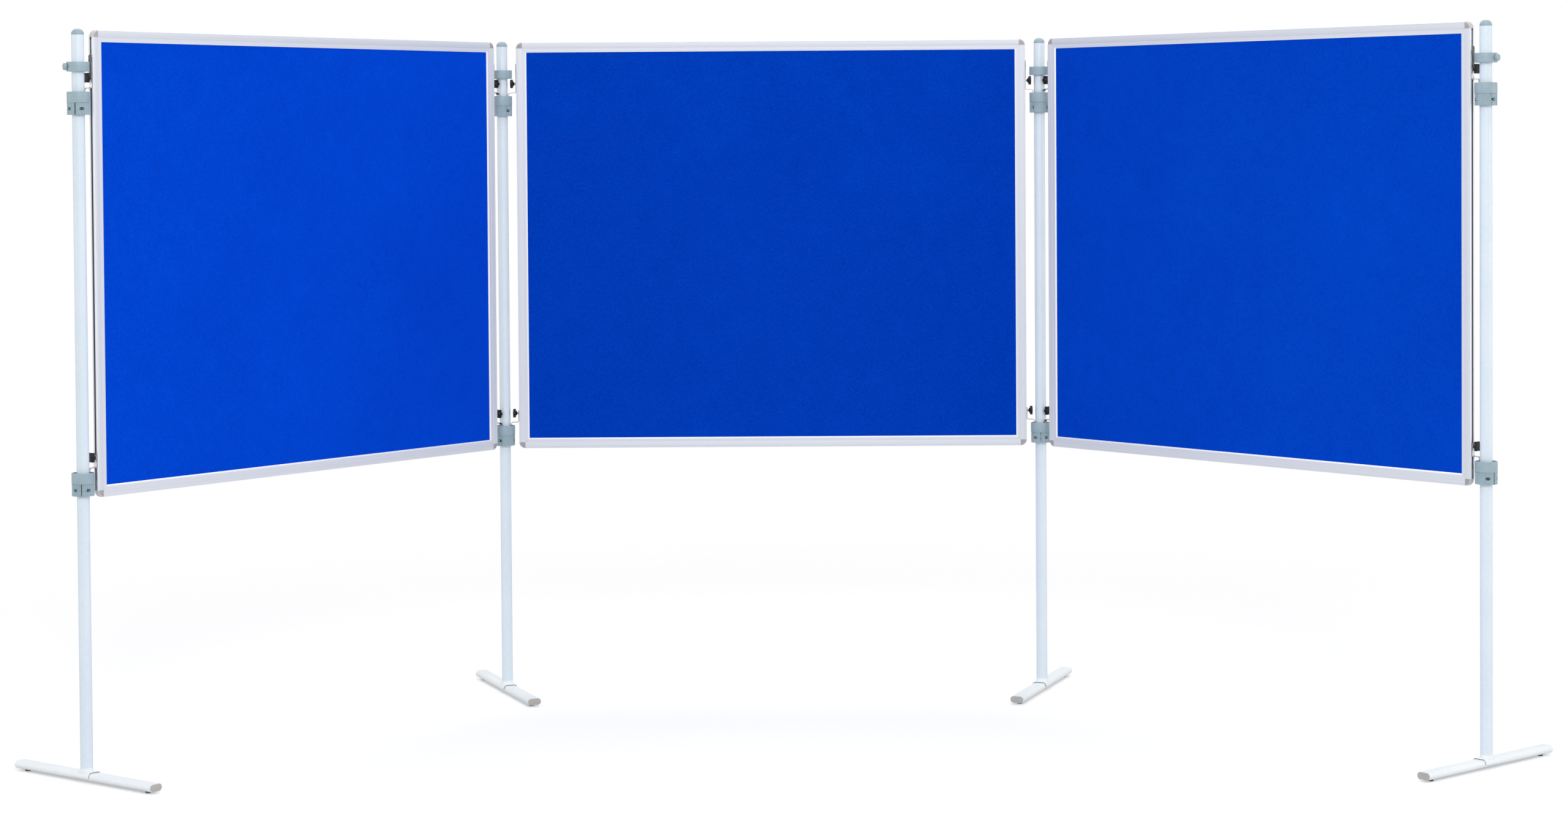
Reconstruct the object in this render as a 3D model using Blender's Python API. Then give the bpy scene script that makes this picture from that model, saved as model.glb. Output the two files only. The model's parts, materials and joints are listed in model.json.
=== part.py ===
"""Mobile pinboard: three felt boards hung by hooks between four posts on T-feet.

Metres, +Z up, seen from -Y. The centre board runs along X. Each side board swings
about the post that it shares with the centre board. The hooks of the boards hang in
the cups of collars clamped to the posts, and a lock ring above keeps them in.
"""

import math

import bmesh
import bpy
from mathutils import Matrix, Vector

# Boards
BOARD_WIDTH = 1.5
BOARD_HEIGHT = 1.2
BOARD_TOP_RISE = 0.0128
LEFT_SWING_DEGREES = 52.9
RIGHT_SWING_DEGREES = 48.0

# Frame section, from its outer edge inwards
FRAME_DEPTH = 0.017
FRAME_CHAMFER = 0.0008
BAND_WIDTH = 0.018
BAND_STEP = 0.0008
LEDGE_WIDTH = 0.0085
LIP_WIDTH = 0.004
LIP_EDGE = 0.0007
GROOVE_WIDTH = 0.006
GROOVE_DEPTH = 0.009
WEB_THICKNESS = 0.003
PANEL_DEPTH = 0.009
FELT_SWELL = 0.0004

# Posts
POST_REACH = 0.042
TUBE_RADIUS = 0.016
TUBE_WALL = 0.002
TUBE_TOP = 1.914
CAP_HEIGHT = 0.0145
CAP_SPIGOT = 0.018
CAP_SPIGOT_CHAMFER = 0.001

# Feet
FOOT_LENGTH = 0.53
FOOT_WIDTH = 0.04
FOOT_HEIGHT = 0.02
FOOT_WALL = 0.002
END_CAP_THICKNESS = 0.004
GLIDE_RADIUS = 0.007
GLIDE_HEIGHT = 0.006
GLIDE_INSET = 0.03
BOLT_RADIUS = 0.004
BOLT_HEAD_RADIUS = 0.0065
BOLT_HEAD_HEIGHT = 0.005
BOLT_RISE = 0.02
ACCESS_HOLE_RADIUS = 0.009
SADDLE_LENGTH = 0.062
SADDLE_WALL = 0.0017
SADDLE_SKIRT = 0.002
FLARE_RADIUS = 0.009
FLARE_SIDE = 0.0025
FOOT_DEGREES = {1: -37.1, 2: -67.4, 3: -110.0, 4: -138.0}

# Hook collars
COLLAR_RADIUS = 0.029
COLLAR_HEIGHT = 0.059
COLLAR_CHAMFER = 0.0018
CUP_BAND = 0.028
CUP_DEPTH = 0.022
CUP_WALL = 0.0025
CLAMP_STEP = 0.0006
CLAMP_SLOT = 0.0025
POCKET_RADIUS = 0.004
POCKET_OFFSET = 0.0225
POCKET_FLOOR = 0.0105
TOP_RIM_DROP = 0.1583
BOTTOM_RIM_RISE = 0.0677
COLLAR_DEGREES = {
    "top": {1: -94.0, 2: -9.5, 3: 3.0, 4: -24.0},
    "bottom": {1: -85.0, 2: 26.5, 3: -94.0, 4: -58.0},
}

# Lock rings and their knobs
RING_HEIGHT = 0.0245
RING_CHAMFER = 0.0008
RING_PLAY = 0.0015
RING_KNOB_RADIUS = 0.009
RING_KNOB_LENGTH = 0.0095
RING_KNOB_ROUND = 0.0025
RING_STUD_RADIUS = 0.0025
RING_STUD_END_GAP = 0.0006
RING_KNOB_DEGREES = {1: -150.0, 2: 100.0, 3: 85.0, 4: -43.0}

# Hooks and star knobs
HOOK_THICKNESS = 0.002
ARM_WIDTH = 0.011
ARM_RISE = 0.0085
HOOK_BEND = 0.004
TIP_BEND = 0.0075
TIP_CLEARANCE = 0.001
PLATE_WIDTH = 0.011
HEAD_WIDTH = 0.014
HEAD_TIP_WIDTH = 0.006
HEAD_TAPER = 0.006
HEAD_LENGTH = 0.014
HEAD_NECK = 0.004
HEAD_RISE = 0.0595
PLATE_RISE = 0.009
KNOB_ABOVE_RIM = 0.036
KNOB_RADIUS = 0.014
KNOB_LOBE_DEPTH = 0.0032
KNOB_THICKNESS = 0.0074
KNOB_CHAMFER = 0.0012
KNOB_HUB_RADIUS = 0.0085
KNOB_HUB_TIP_RADIUS = 0.0042
KNOB_HUB_LENGTH = 0.0043
STUD_SHOW = 0.0036
STUD_RADIUS = 0.0025
STUD_ENGAGEMENT = 0.006

# Clearances, counts and shares
FIT_GAP = 0.0003
OVERRUN = 0.004
MERGE_SHARE = 0.001
SHARP_DEGREES = 35
ROUND_STEPS = 24
SMALL_STEPS = 12
POCKET_STEPS = 8
CORNER_STEPS = 4
OVAL_STEPS = 6
BEND_STEPS = 4
DOME_STEPS = 5
FLARE_STEPS = 3
KNOB_LOBES = 6
POINTS_PER_LOBE = 4

POSTS = (1, 2, 3, 4)
BOARD_BOTTOM = TUBE_TOP + BOARD_TOP_RISE - BOARD_HEIGHT
SPAN = BOARD_WIDTH + 2 * POST_REACH
FOOT_RADIUS = FOOT_HEIGHT / 2
FOOT_MIDDLE = GLIDE_HEIGHT + FOOT_RADIUS
FOOT_TOP = GLIDE_HEIGHT + FOOT_HEIGHT
FOOT_FLAT = FOOT_WIDTH / 2 - FOOT_RADIUS
SADDLE_RADIUS = FOOT_RADIUS + FIT_GAP + SADDLE_WALL
SADDLE_TOP = FOOT_MIDDLE + SADDLE_RADIUS
CHANNEL_DEPTH = GROOVE_DEPTH + WEB_THICKNESS
RIM_HEIGHTS = {
    "top": BOARD_BOTTOM + BOARD_HEIGHT - TOP_RIM_DROP,
    "bottom": BOARD_BOTTOM + BOTTOM_RIM_RISE,
}
RING_BOTTOM = RIM_HEIGHTS["top"] + KNOB_ABOVE_RIM + KNOB_RADIUS + RING_PLAY


def clear_scene():
    for item in list(bpy.data.objects):
        bpy.data.objects.remove(item, do_unlink=True)


def linear(level):
    value = level / 255
    return value / 12.92 if value <= 0.04045 else ((value + 0.055) / 1.055) ** 2.4


def surface(name, red_green_blue, roughness, metallic):
    material = bpy.data.materials.new(name)
    material.use_nodes = True
    shader = material.node_tree.nodes["Principled BSDF"]
    colour = [linear(level) for level in red_green_blue]
    shader.inputs["Base Color"].default_value = (*colour, 1)
    shader.inputs["Roughness"].default_value = roughness
    shader.inputs["Metallic"].default_value = metallic
    return material


def empty(name, parent, location, degrees):
    anchor = bpy.data.objects.new(name, None)
    anchor.parent = parent
    anchor.location = location
    anchor.rotation_euler.z = math.radians(degrees)
    bpy.context.collection.objects.link(anchor)
    return anchor


def place(name, mesh, material, parent, location=(0, 0, 0), degrees=0):
    """A copy of the mesh as a named object under its parent, turned about Z."""
    if not mesh.materials:
        mesh.materials.append(material)
    item = bpy.data.objects.new(name, mesh)
    item.parent = parent
    item.location = location
    item.rotation_euler.z = math.radians(degrees)
    bpy.context.collection.objects.link(item)
    return item


def finished(shape, name):
    """Close up the bmesh, turn its faces outwards and make it a mesh."""
    bmesh.ops.remove_doubles(shape, verts=shape.verts, dist=OVERRUN * MERGE_SHARE)
    bmesh.ops.recalc_face_normals(shape, faces=shape.faces)
    mesh = bpy.data.meshes.new(name)
    shape.to_mesh(mesh)
    shape.free()
    mesh.shade_smooth()
    mesh.set_sharp_from_angle(angle=math.radians(SHARP_DEGREES))
    return mesh


def loft(shape, rings, closed):
    """Skin equal rings of points; closed joins the last ring to the first."""
    rows = [[shape.verts.new(point) for point in ring] for ring in rings]
    pairs = list(zip(rows, rows[1:]))
    if closed:
        pairs.append((rows[-1], rows[0]))
    for lower, upper in pairs:
        count = len(lower)
        for index in range(count):
            after = (index + 1) % count
            shape.faces.new((lower[index], lower[after], upper[after], upper[index]))
    if not closed:
        shape.faces.new(rows[0])
        shape.faces.new(rows[-1])


def lofted(name, rings, closed=False):
    shape = bmesh.new()
    loft(shape, rings, closed)
    return finished(shape, name)


def ellipse(radius_x, radius_y, height, steps):
    angles = [2 * math.pi * index / steps for index in range(steps)]
    return [(radius_x * math.cos(a), radius_y * math.sin(a), height) for a in angles]


def turned(name, profile, steps, axis="Z"):
    """Spin a closed outline of (radius, height) pairs about Z, or about X."""
    shape = bmesh.new()
    corners = [shape.verts.new((radius, 0, height)) for radius, height in profile]
    edges = [shape.edges.new(pair) for pair in zip(corners, corners[1:] + corners[:1])]
    bmesh.ops.spin(
        shape,
        geom=corners + edges,
        cent=(0, 0, 0),
        axis=(0, 0, 1),
        angle=2 * math.pi,
        steps=steps,
        use_merge=True,
    )
    bmesh.ops.dissolve_degenerate(shape, edges=shape.edges, dist=OVERRUN * MERGE_SHARE)
    if axis == "X":
        quarter = Matrix.Rotation(math.pi / 2, 4, "Y")
        bmesh.ops.transform(shape, matrix=quarter, verts=shape.verts)
    return finished(shape, name)


def box(name, low, high):
    shape = bmesh.new()
    size = Vector(high) - Vector(low)
    middle = (Vector(high) + Vector(low)) / 2
    matrix = Matrix.Translation(middle) @ Matrix.Diagonal((*size, 1))
    bmesh.ops.create_cube(shape, size=1, matrix=matrix)
    return finished(shape, name)


def rod(name, radius, start, end, steps=SMALL_STEPS):
    """A round bar between two points."""
    along = Vector(end) - Vector(start)
    turn = along.to_track_quat("Z", "Y").to_matrix().to_4x4()
    shape = bmesh.new()
    ends = [ellipse(radius, radius, height, steps) for height in (0, along.length)]
    loft(shape, ends, False)
    bmesh.ops.transform(shape, matrix=Matrix.Translation(start) @ turn, verts=shape.verts)
    return finished(shape, name)


def carve(mesh, tools, operation="DIFFERENCE"):
    """Cut the tools out of the mesh, or join them to it, and give the new mesh."""
    body = bpy.data.objects.new("body", mesh)
    bpy.context.collection.objects.link(body)
    helpers = []
    for tool in tools:
        helper = bpy.data.objects.new("tool", tool)
        bpy.context.collection.objects.link(helper)
        helper.hide_render = True
        helper.display_type = "WIRE"
        modifier = body.modifiers.new("cut", "BOOLEAN")
        modifier.operation = operation
        modifier.object = helper
        helpers.append(helper)
    graph = bpy.context.evaluated_depsgraph_get()
    result = bpy.data.meshes.new_from_object(body.evaluated_get(graph))
    result.name = mesh.name
    result.set_sharp_from_angle(angle=math.radians(SHARP_DEGREES))
    for item in [body] + helpers:
        bpy.data.objects.remove(item, do_unlink=True)
    return result


def around(radius, gap, steps):
    """Corner radius of a faceted bore whose flats clear a round of this radius."""
    return (radius + gap) / math.cos(math.pi / steps)


def board_ring(inset, depth, radius):
    """The board's outline at an inset from its edge, in the XZ plane, at a depth."""
    low_x = POST_REACH + inset
    high_x = POST_REACH + BOARD_WIDTH - inset
    low_z = BOARD_BOTTOM + inset
    high_z = BOARD_BOTTOM + BOARD_HEIGHT - inset
    corners = (
        (high_x - radius, low_z + radius, -90),
        (high_x - radius, high_z - radius, 0),
        (low_x + radius, high_z - radius, 90),
        (low_x + radius, low_z + radius, 180),
    )
    ring = []
    for centre_x, centre_z, start in corners:
        for index in range(CORNER_STEPS + 1):
            angle = math.radians(start + 90 * index / CORNER_STEPS)
            x = centre_x + radius * math.cos(angle)
            z = centre_z + radius * math.sin(angle)
            ring.append((x, depth, z))
    return ring


def frame_section():
    """The front half of the rail's section: inset from the edge, depth, corner radius."""
    face = FRAME_DEPTH / 2
    channel = PANEL_DEPTH / 2 - FELT_SWELL + FIT_GAP
    ledge = BAND_WIDTH + LEDGE_WIDTH
    opening = ledge + LIP_WIDTH
    return (
        (0, face - FRAME_CHAMFER, BAND_WIDTH),
        (FRAME_CHAMFER, face, BAND_WIDTH - FRAME_CHAMFER),
        (BAND_WIDTH, face, 0),
        (BAND_WIDTH, face - BAND_STEP, 0),
        (ledge, face - BAND_STEP, 0),
        (opening, channel + LIP_EDGE, 0),
        (opening, channel, 0),
        (CHANNEL_DEPTH, channel, 0),
    )


def groove_cutters():
    """Four bars that cut the hook groove along the outer edges, between the corners."""
    half = GROOVE_WIDTH / 2
    left = POST_REACH
    right = POST_REACH + BOARD_WIDTH
    bottom = BOARD_BOTTOM
    top = BOARD_BOTTOM + BOARD_HEIGHT
    near_x = left + BAND_WIDTH
    far_x = right - BAND_WIDTH
    low_z = bottom + BAND_WIDTH
    high_z = top - BAND_WIDTH
    return [
        box("groove", (left - OVERRUN, -half, low_z), (left + GROOVE_DEPTH, half, high_z)),
        box("groove", (right - GROOVE_DEPTH, -half, low_z), (right + OVERRUN, half, high_z)),
        box("groove", (near_x, -half, bottom - OVERRUN), (far_x, half, bottom + GROOVE_DEPTH)),
        box("groove", (near_x, -half, top - GROOVE_DEPTH), (far_x, half, top + OVERRUN)),
    ]


def frame_mesh():
    front = [board_ring(*point) for point in frame_section()]
    back = [board_ring(inset, -depth, radius) for inset, depth, radius in frame_section()]
    ring = lofted("frame", front + back[::-1], closed=True)
    return carve(ring, groove_cutters())


def panel_mesh():
    """Softboard with felt on both sides, which swells a little where no lip holds it."""
    edge = CHANNEL_DEPTH + FIT_GAP
    field = BAND_WIDTH + LEDGE_WIDTH + LIP_WIDTH + FIT_GAP
    depth = PANEL_DEPTH - 2 * FELT_SWELL
    middle = (SPAN / 2, 0, BOARD_BOTTOM + BOARD_HEIGHT / 2)
    size = (BOARD_WIDTH - 2 * edge, depth, BOARD_HEIGHT - 2 * edge, 1)
    matrix = Matrix.Translation(middle) @ Matrix.Diagonal(size)
    shape = bmesh.new()
    bmesh.ops.create_cube(shape, size=1, matrix=matrix)
    sides = [face for face in shape.faces if face.normal.y in (-1, 1)]
    bmesh.ops.inset_individual(shape, faces=sides, thickness=field - edge, use_even_offset=True)
    raised = bmesh.ops.extrude_discrete_faces(shape, faces=sides)["faces"]
    for face in raised:
        bmesh.ops.translate(shape, verts=face.verts, vec=face.normal * FELT_SWELL)
    return finished(shape, "panel")


def bend(centre_x, centre_z, radius, start, outward):
    """Stations round a quarter bend of the strip: place, angle across it, width."""
    stations = []
    for index in range(BEND_STEPS + 1):
        turn = math.radians(start - outward * 90 * index / BEND_STEPS)
        x = centre_x + outward * radius * math.cos(turn)
        z = centre_z + outward * radius * math.sin(turn)
        stations.append((x, z, turn, ARM_WIDTH))
    return stations


def hook_stations(head):
    """The middle line of the bent strip, from the plate's top to the tip in the cup."""
    plate_x = POST_REACH - FIT_GAP - HOOK_THICKNESS / 2
    arm_z = ARM_RISE + HOOK_THICKNESS / 2
    tip_x = TUBE_RADIUS + TIP_CLEARANCE + HOOK_THICKNESS / 2
    tip_z = FIT_GAP - CUP_DEPTH
    if head:
        top = KNOB_ABOVE_RIM + HEAD_RISE
        shoulder = top - HEAD_TAPER
        widths = (
            (top, HEAD_TIP_WIDTH),
            (shoulder, HEAD_WIDTH),
            (shoulder - HEAD_LENGTH, HEAD_WIDTH),
            (shoulder - HEAD_LENGTH - HEAD_NECK, PLATE_WIDTH),
        )
    else:
        widths = ((KNOB_ABOVE_RIM + PLATE_RISE, PLATE_WIDTH),)
    stations = [(plate_x, height, 0, width) for height, width in widths]
    stations += bend(plate_x - HOOK_BEND, arm_z + HOOK_BEND, HOOK_BEND, 0, 1)
    stations += bend(tip_x + TIP_BEND, arm_z - TIP_BEND, TIP_BEND, -90, -1)
    stations.append((tip_x, tip_z, 0, ARM_WIDTH))
    return stations


def strip_ring(x, z, angle, width):
    """A cross-section of the strip; the angle points across its thickness."""
    across = Vector((math.cos(angle), 0, math.sin(angle))) * HOOK_THICKNESS / 2
    side = Vector((0, width / 2, 0))
    middle = Vector((x, 0, z))
    outer = [middle + across + side, middle - across + side]
    return outer + [middle - across - side, middle + across - side]


def hook_mesh(head):
    """Plate against the board, arm over the cup's rim, tip down on the cup's floor."""
    strip = lofted("hook", [strip_ring(*station) for station in hook_stations(head)])
    hole = around(STUD_RADIUS, FIT_GAP, SMALL_STEPS)
    start = (POST_REACH - HOOK_THICKNESS - OVERRUN, 0, KNOB_ABOVE_RIM)
    return carve(strip, [rod("hole", hole, start, (POST_REACH + OVERRUN, 0, KNOB_ABOVE_RIM))])


def star_ring(shrink, along):
    """The knob's lobed outline, square to X."""
    count = KNOB_LOBES * POINTS_PER_LOBE
    middle = KNOB_RADIUS - KNOB_LOBE_DEPTH / 2
    ring = []
    for index in range(count):
        angle = 2 * math.pi * index / count
        radius = middle + KNOB_LOBE_DEPTH / 2 * math.cos(KNOB_LOBES * angle) - shrink
        ring.append((along, radius * math.cos(angle), radius * math.sin(angle)))
    return ring


def star_knob_mesh():
    """Lobed head, tapered hub and stud along X; zero is the plate's outer face."""
    hub_base = -STUD_SHOW - KNOB_HUB_LENGTH
    head_end = hub_base - KNOB_THICKNESS
    rings = [
        star_ring(KNOB_CHAMFER, head_end),
        star_ring(0, head_end + KNOB_CHAMFER),
        star_ring(0, hub_base),
    ]
    stud_end = HOOK_THICKNESS + FIT_GAP + STUD_ENGAGEMENT
    middle = (head_end + hub_base) / 2
    profile = (
        (0, middle),
        (KNOB_HUB_RADIUS, middle),
        (KNOB_HUB_RADIUS, hub_base),
        (KNOB_HUB_TIP_RADIUS, -STUD_SHOW),
        (STUD_RADIUS, -STUD_SHOW),
        (STUD_RADIUS, stud_end),
        (0, stud_end),
    )
    return carve(lofted("star_knob", rings), [turned("stud", profile, SMALL_STEPS, "X")], "UNION")


def stadium(radius, height_middle, from_degrees=-90):
    """Half of a flat oval section, from its lower side over the top, as (y, z)."""
    side = []
    for index in range(OVAL_STEPS + 1):
        angle = math.radians(from_degrees + (90 - from_degrees) * index / OVAL_STEPS)
        y = FOOT_FLAT + radius * math.cos(angle)
        side.append((y, height_middle + radius * math.sin(angle)))
    return side + [(-y, z) for y, z in reversed(side)]


def bar(name, section, half_length):
    """A section in the YZ plane, drawn out both ways along X."""
    rings = [[(x, y, z) for y, z in section] for x in (-half_length, half_length)]
    return lofted(name, rings)


def post_mesh():
    """Tube with its flare and the saddle that sits over the foot, as welded."""
    flare_x = TUBE_RADIUS + FLARE_RADIUS
    flare_y = TUBE_RADIUS + FLARE_SIDE
    flare = [ellipse(flare_x, flare_y, FOOT_MIDDLE + OVERRUN, ROUND_STEPS)]
    for index in range(FLARE_STEPS + 1):
        angle = math.pi / 2 * index / FLARE_STEPS
        spread = 1 - math.sin(angle)
        wide = TUBE_RADIUS + FLARE_RADIUS * spread
        side = TUBE_RADIUS + FLARE_SIDE * spread
        height = SADDLE_TOP + FLARE_RADIUS * (1 - math.cos(angle))
        flare.append(ellipse(wide, side, height, ROUND_STEPS))
    flare.append(ellipse(TUBE_RADIUS, TUBE_RADIUS, TUBE_TOP, ROUND_STEPS))
    half_width = FOOT_FLAT + SADDLE_RADIUS
    skirt = FOOT_MIDDLE - SADDLE_SKIRT
    arch = [(half_width, skirt)] + stadium(SADDLE_RADIUS, FOOT_MIDDLE, 0) + [(-half_width, skirt)]
    whole = carve(lofted("tube", flare), [bar("saddle", arch, SADDLE_LENGTH / 2)], "UNION")
    bore = TUBE_RADIUS - TUBE_WALL
    bolt_hole = around(BOLT_RADIUS, FIT_GAP, SMALL_STEPS)
    cutters = [
        bar("foot_space", stadium(FOOT_RADIUS + FIT_GAP, FOOT_MIDDLE), SADDLE_LENGTH / 2 + OVERRUN),
        rod("bore", bore, (0, 0, SADDLE_TOP), (0, 0, TUBE_TOP + OVERRUN), ROUND_STEPS),
        rod("bolt_hole", bolt_hole, (0, 0, FOOT_TOP - OVERRUN), (0, 0, SADDLE_TOP + OVERRUN)),
    ]
    return carve(whole, cutters)


def cap_mesh():
    """Domed plug: spigot inside the tube, dome over its end."""
    spigot = (TUBE_RADIUS - TUBE_WALL) * math.cos(math.pi / ROUND_STEPS) - FIT_GAP
    base = TUBE_TOP + FIT_GAP
    foot = TUBE_TOP - CAP_SPIGOT
    profile = [
        (0, foot),
        (spigot - CAP_SPIGOT_CHAMFER, foot),
        (spigot, foot + CAP_SPIGOT_CHAMFER),
        (spigot, base),
    ]
    for index in range(DOME_STEPS + 1):
        angle = math.pi / 2 * index / DOME_STEPS
        profile.append((TUBE_RADIUS * math.cos(angle), base + CAP_HEIGHT * math.sin(angle)))
    return turned("cap", profile, ROUND_STEPS)


def foot_mesh():
    """Flat oval tube with end caps, glides and the bolt that holds the post."""
    inside = FOOT_RADIUS - FOOT_WALL
    foot = bar("foot", stadium(FOOT_RADIUS, FOOT_MIDDLE), FOOT_LENGTH / 2)
    hollow = bar("hollow", stadium(inside, FOOT_MIDDLE), FOOT_LENGTH / 2 - END_CAP_THICKNESS)
    underside = GLIDE_HEIGHT + FOOT_WALL
    access = rod("access", ACCESS_HOLE_RADIUS, (0, 0, 0), (0, 0, underside + OVERRUN / 2))
    shell = carve(foot, [hollow, access])
    ceiling = FOOT_TOP - FOOT_WALL / 2
    head = FOOT_TOP - FOOT_WALL - BOLT_HEAD_HEIGHT
    bolt_top = FOOT_TOP + BOLT_RISE
    bolt_profile = (
        (0, head),
        (BOLT_HEAD_RADIUS, head),
        (BOLT_HEAD_RADIUS, ceiling),
        (BOLT_RADIUS, ceiling),
        (BOLT_RADIUS, bolt_top),
        (0, bolt_top),
    )
    joined = [turned("bolt", bolt_profile, SMALL_STEPS)]
    for side in (-1, 1):
        x = side * (FOOT_LENGTH / 2 - GLIDE_INSET)
        joined.append(rod("glide", GLIDE_RADIUS, (x, 0, 0), (x, 0, GLIDE_HEIGHT + FOOT_WALL / 2)))
    return carve(shell, joined, "UNION")


def collar_mesh():
    """Cup for the hooks above, split clamp below; zero is the cup's rim."""
    bore = around(TUBE_RADIUS, FIT_GAP, ROUND_STEPS)
    cup = COLLAR_RADIUS - CUP_WALL
    clamp = COLLAR_RADIUS - CLAMP_STEP
    profile = (
        (cup, 0),
        (COLLAR_RADIUS - COLLAR_CHAMFER, 0),
        (COLLAR_RADIUS, -COLLAR_CHAMFER),
        (COLLAR_RADIUS, -CUP_BAND),
        (clamp, -CUP_BAND),
        (clamp, -COLLAR_HEIGHT),
        (bore, -COLLAR_HEIGHT),
        (bore, -CUP_DEPTH),
        (cup, -CUP_DEPTH),
    )
    reach = COLLAR_RADIUS + OVERRUN
    half_slot = CLAMP_SLOT / 2
    bottom = -COLLAR_HEIGHT - OVERRUN
    cutters = [box("slot", (-reach, -half_slot, bottom), (reach, half_slot, -CUP_BAND))]
    screw_height = -(CUP_BAND + COLLAR_HEIGHT) / 2
    for side_x in (-1, 1):
        for side_y in (-1, 1):
            x = side_x * POCKET_OFFSET
            start = (x, side_y * POCKET_FLOOR, screw_height)
            end = (x, side_y * reach, screw_height)
            cutters.append(rod("pocket", POCKET_RADIUS, start, end, POCKET_STEPS))
    return carve(turned("collar", profile, ROUND_STEPS), cutters)


def ring_mesh():
    """Lock ring with a radial hole for its knob's stud, along X; zero is its underside."""
    bore = around(TUBE_RADIUS, FIT_GAP, ROUND_STEPS)
    edge = COLLAR_RADIUS - RING_CHAMFER
    profile = (
        (bore, 0),
        (edge, 0),
        (COLLAR_RADIUS, RING_CHAMFER),
        (COLLAR_RADIUS, RING_HEIGHT - RING_CHAMFER),
        (edge, RING_HEIGHT),
        (bore, RING_HEIGHT),
    )
    hole = around(RING_STUD_RADIUS, FIT_GAP, SMALL_STEPS)
    start = (TUBE_RADIUS / 2, 0, RING_HEIGHT / 2)
    end = (COLLAR_RADIUS + OVERRUN, 0, RING_HEIGHT / 2)
    return carve(turned("ring", profile, ROUND_STEPS), [rod("hole", hole, start, end)])


def ring_knob_mesh():
    """Small round knob on a stud, along X from the post's axis."""
    start = COLLAR_RADIUS + FIT_GAP
    end = start + RING_KNOB_LENGTH
    tip = TUBE_RADIUS + RING_STUD_END_GAP
    profile = (
        (0, tip),
        (RING_STUD_RADIUS, tip),
        (RING_STUD_RADIUS, start),
        (RING_KNOB_RADIUS, start),
        (RING_KNOB_RADIUS, end - RING_KNOB_ROUND),
        (RING_KNOB_RADIUS - RING_KNOB_ROUND, end),
        (0, end),
    )
    return turned("ring_knob", profile, SMALL_STEPS, "X")


def build_board(name, anchor, ends, meshes, materials):
    """Frame, panel and, at each end, the hooks and their star knobs."""
    place(f"{name}_frame", meshes["frame"], materials["frame"], anchor)
    place(f"{name}_panel", meshes["panel"], materials["felt"], anchor)
    knob_x = POST_REACH - FIT_GAP - HOOK_THICKNESS
    for post, along, degrees in ends:
        for level, rim in RIM_HEIGHTS.items():
            hook = meshes[f"hook_{level}"]
            title = f"post{post}_{level}"
            place(f"{name}_hook_{title}", hook, materials["zinc"], anchor, (along, 0, rim), degrees)
            facing = math.cos(math.radians(degrees))
            spot = (along + facing * knob_x, 0, rim + KNOB_ABOVE_RIM)
            knob = meshes["star_knob"]
            place(f"{name}_knob_{title}", knob, materials["black"], anchor, spot, degrees)


def build_post(number, anchor, meshes, materials):
    """Tube, foot and cap, the two collars, and the lock ring with its knob."""
    name = f"post_{number}"
    turn = FOOT_DEGREES[number]
    place(f"{name}_tube", meshes["post"], materials["tube"], anchor, degrees=turn)
    place(f"{name}_cap", meshes["cap"], materials["plastic"], anchor, degrees=turn)
    place(f"{name}_foot", meshes["foot"], materials["foot"], anchor, degrees=turn)
    for level, rim in RIM_HEIGHTS.items():
        spot = (0, 0, rim)
        degrees = COLLAR_DEGREES[level][number]
        place(f"{name}_{level}_collar", meshes["collar"], materials["plastic"], anchor, spot, degrees)
    spot = (0, 0, RING_BOTTOM)
    degrees = RING_KNOB_DEGREES[number]
    place(f"{name}_lock_ring", meshes["ring"], materials["plastic"], anchor, spot, degrees)
    spot = (0, 0, RING_BOTTOM + RING_HEIGHT / 2)
    place(f"{name}_ring_knob", meshes["ring_knob"], materials["plastic"], anchor, spot, degrees)


def make_meshes():
    return {
        "frame": frame_mesh(),
        "panel": panel_mesh(),
        "hook_top": hook_mesh(True),
        "hook_bottom": hook_mesh(False),
        "star_knob": star_knob_mesh(),
        "post": post_mesh(),
        "cap": cap_mesh(),
        "foot": foot_mesh(),
        "collar": collar_mesh(),
        "ring": ring_mesh(),
        "ring_knob": ring_knob_mesh(),
    }


def make_materials():
    return {
        "frame": surface("matt_aluminium", (212, 213, 219), 0.4, 0.9),
        "felt": surface("blue_felt", (0, 66, 192), 0.95, 0.0),
        "zinc": surface("bright_zinc", (200, 200, 205), 0.25, 1.0),
        "black": surface("black_plastic", (28, 28, 34), 0.45, 0.0),
        "tube": surface("pale_powder_coat", (220, 231, 240), 0.35, 0.0),
        "foot": surface("white_powder_coat", (240, 244, 248), 0.35, 0.0),
        "plastic": surface("blue_grey_plastic", (165, 186, 190), 0.45, 0.0),
    }


def stand_over_origin(root):
    """Move the whole set so that the middle of its plan lies on the origin."""
    bpy.context.view_layer.update()
    corners = []
    for item in bpy.data.objects:
        if item.type == "MESH":
            corners += [item.matrix_world @ vertex.co for vertex in item.data.vertices]
    for axis in (0, 1):
        values = [corner[axis] for corner in corners]
        root.location[axis] = -(min(values) + max(values)) / 2


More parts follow.
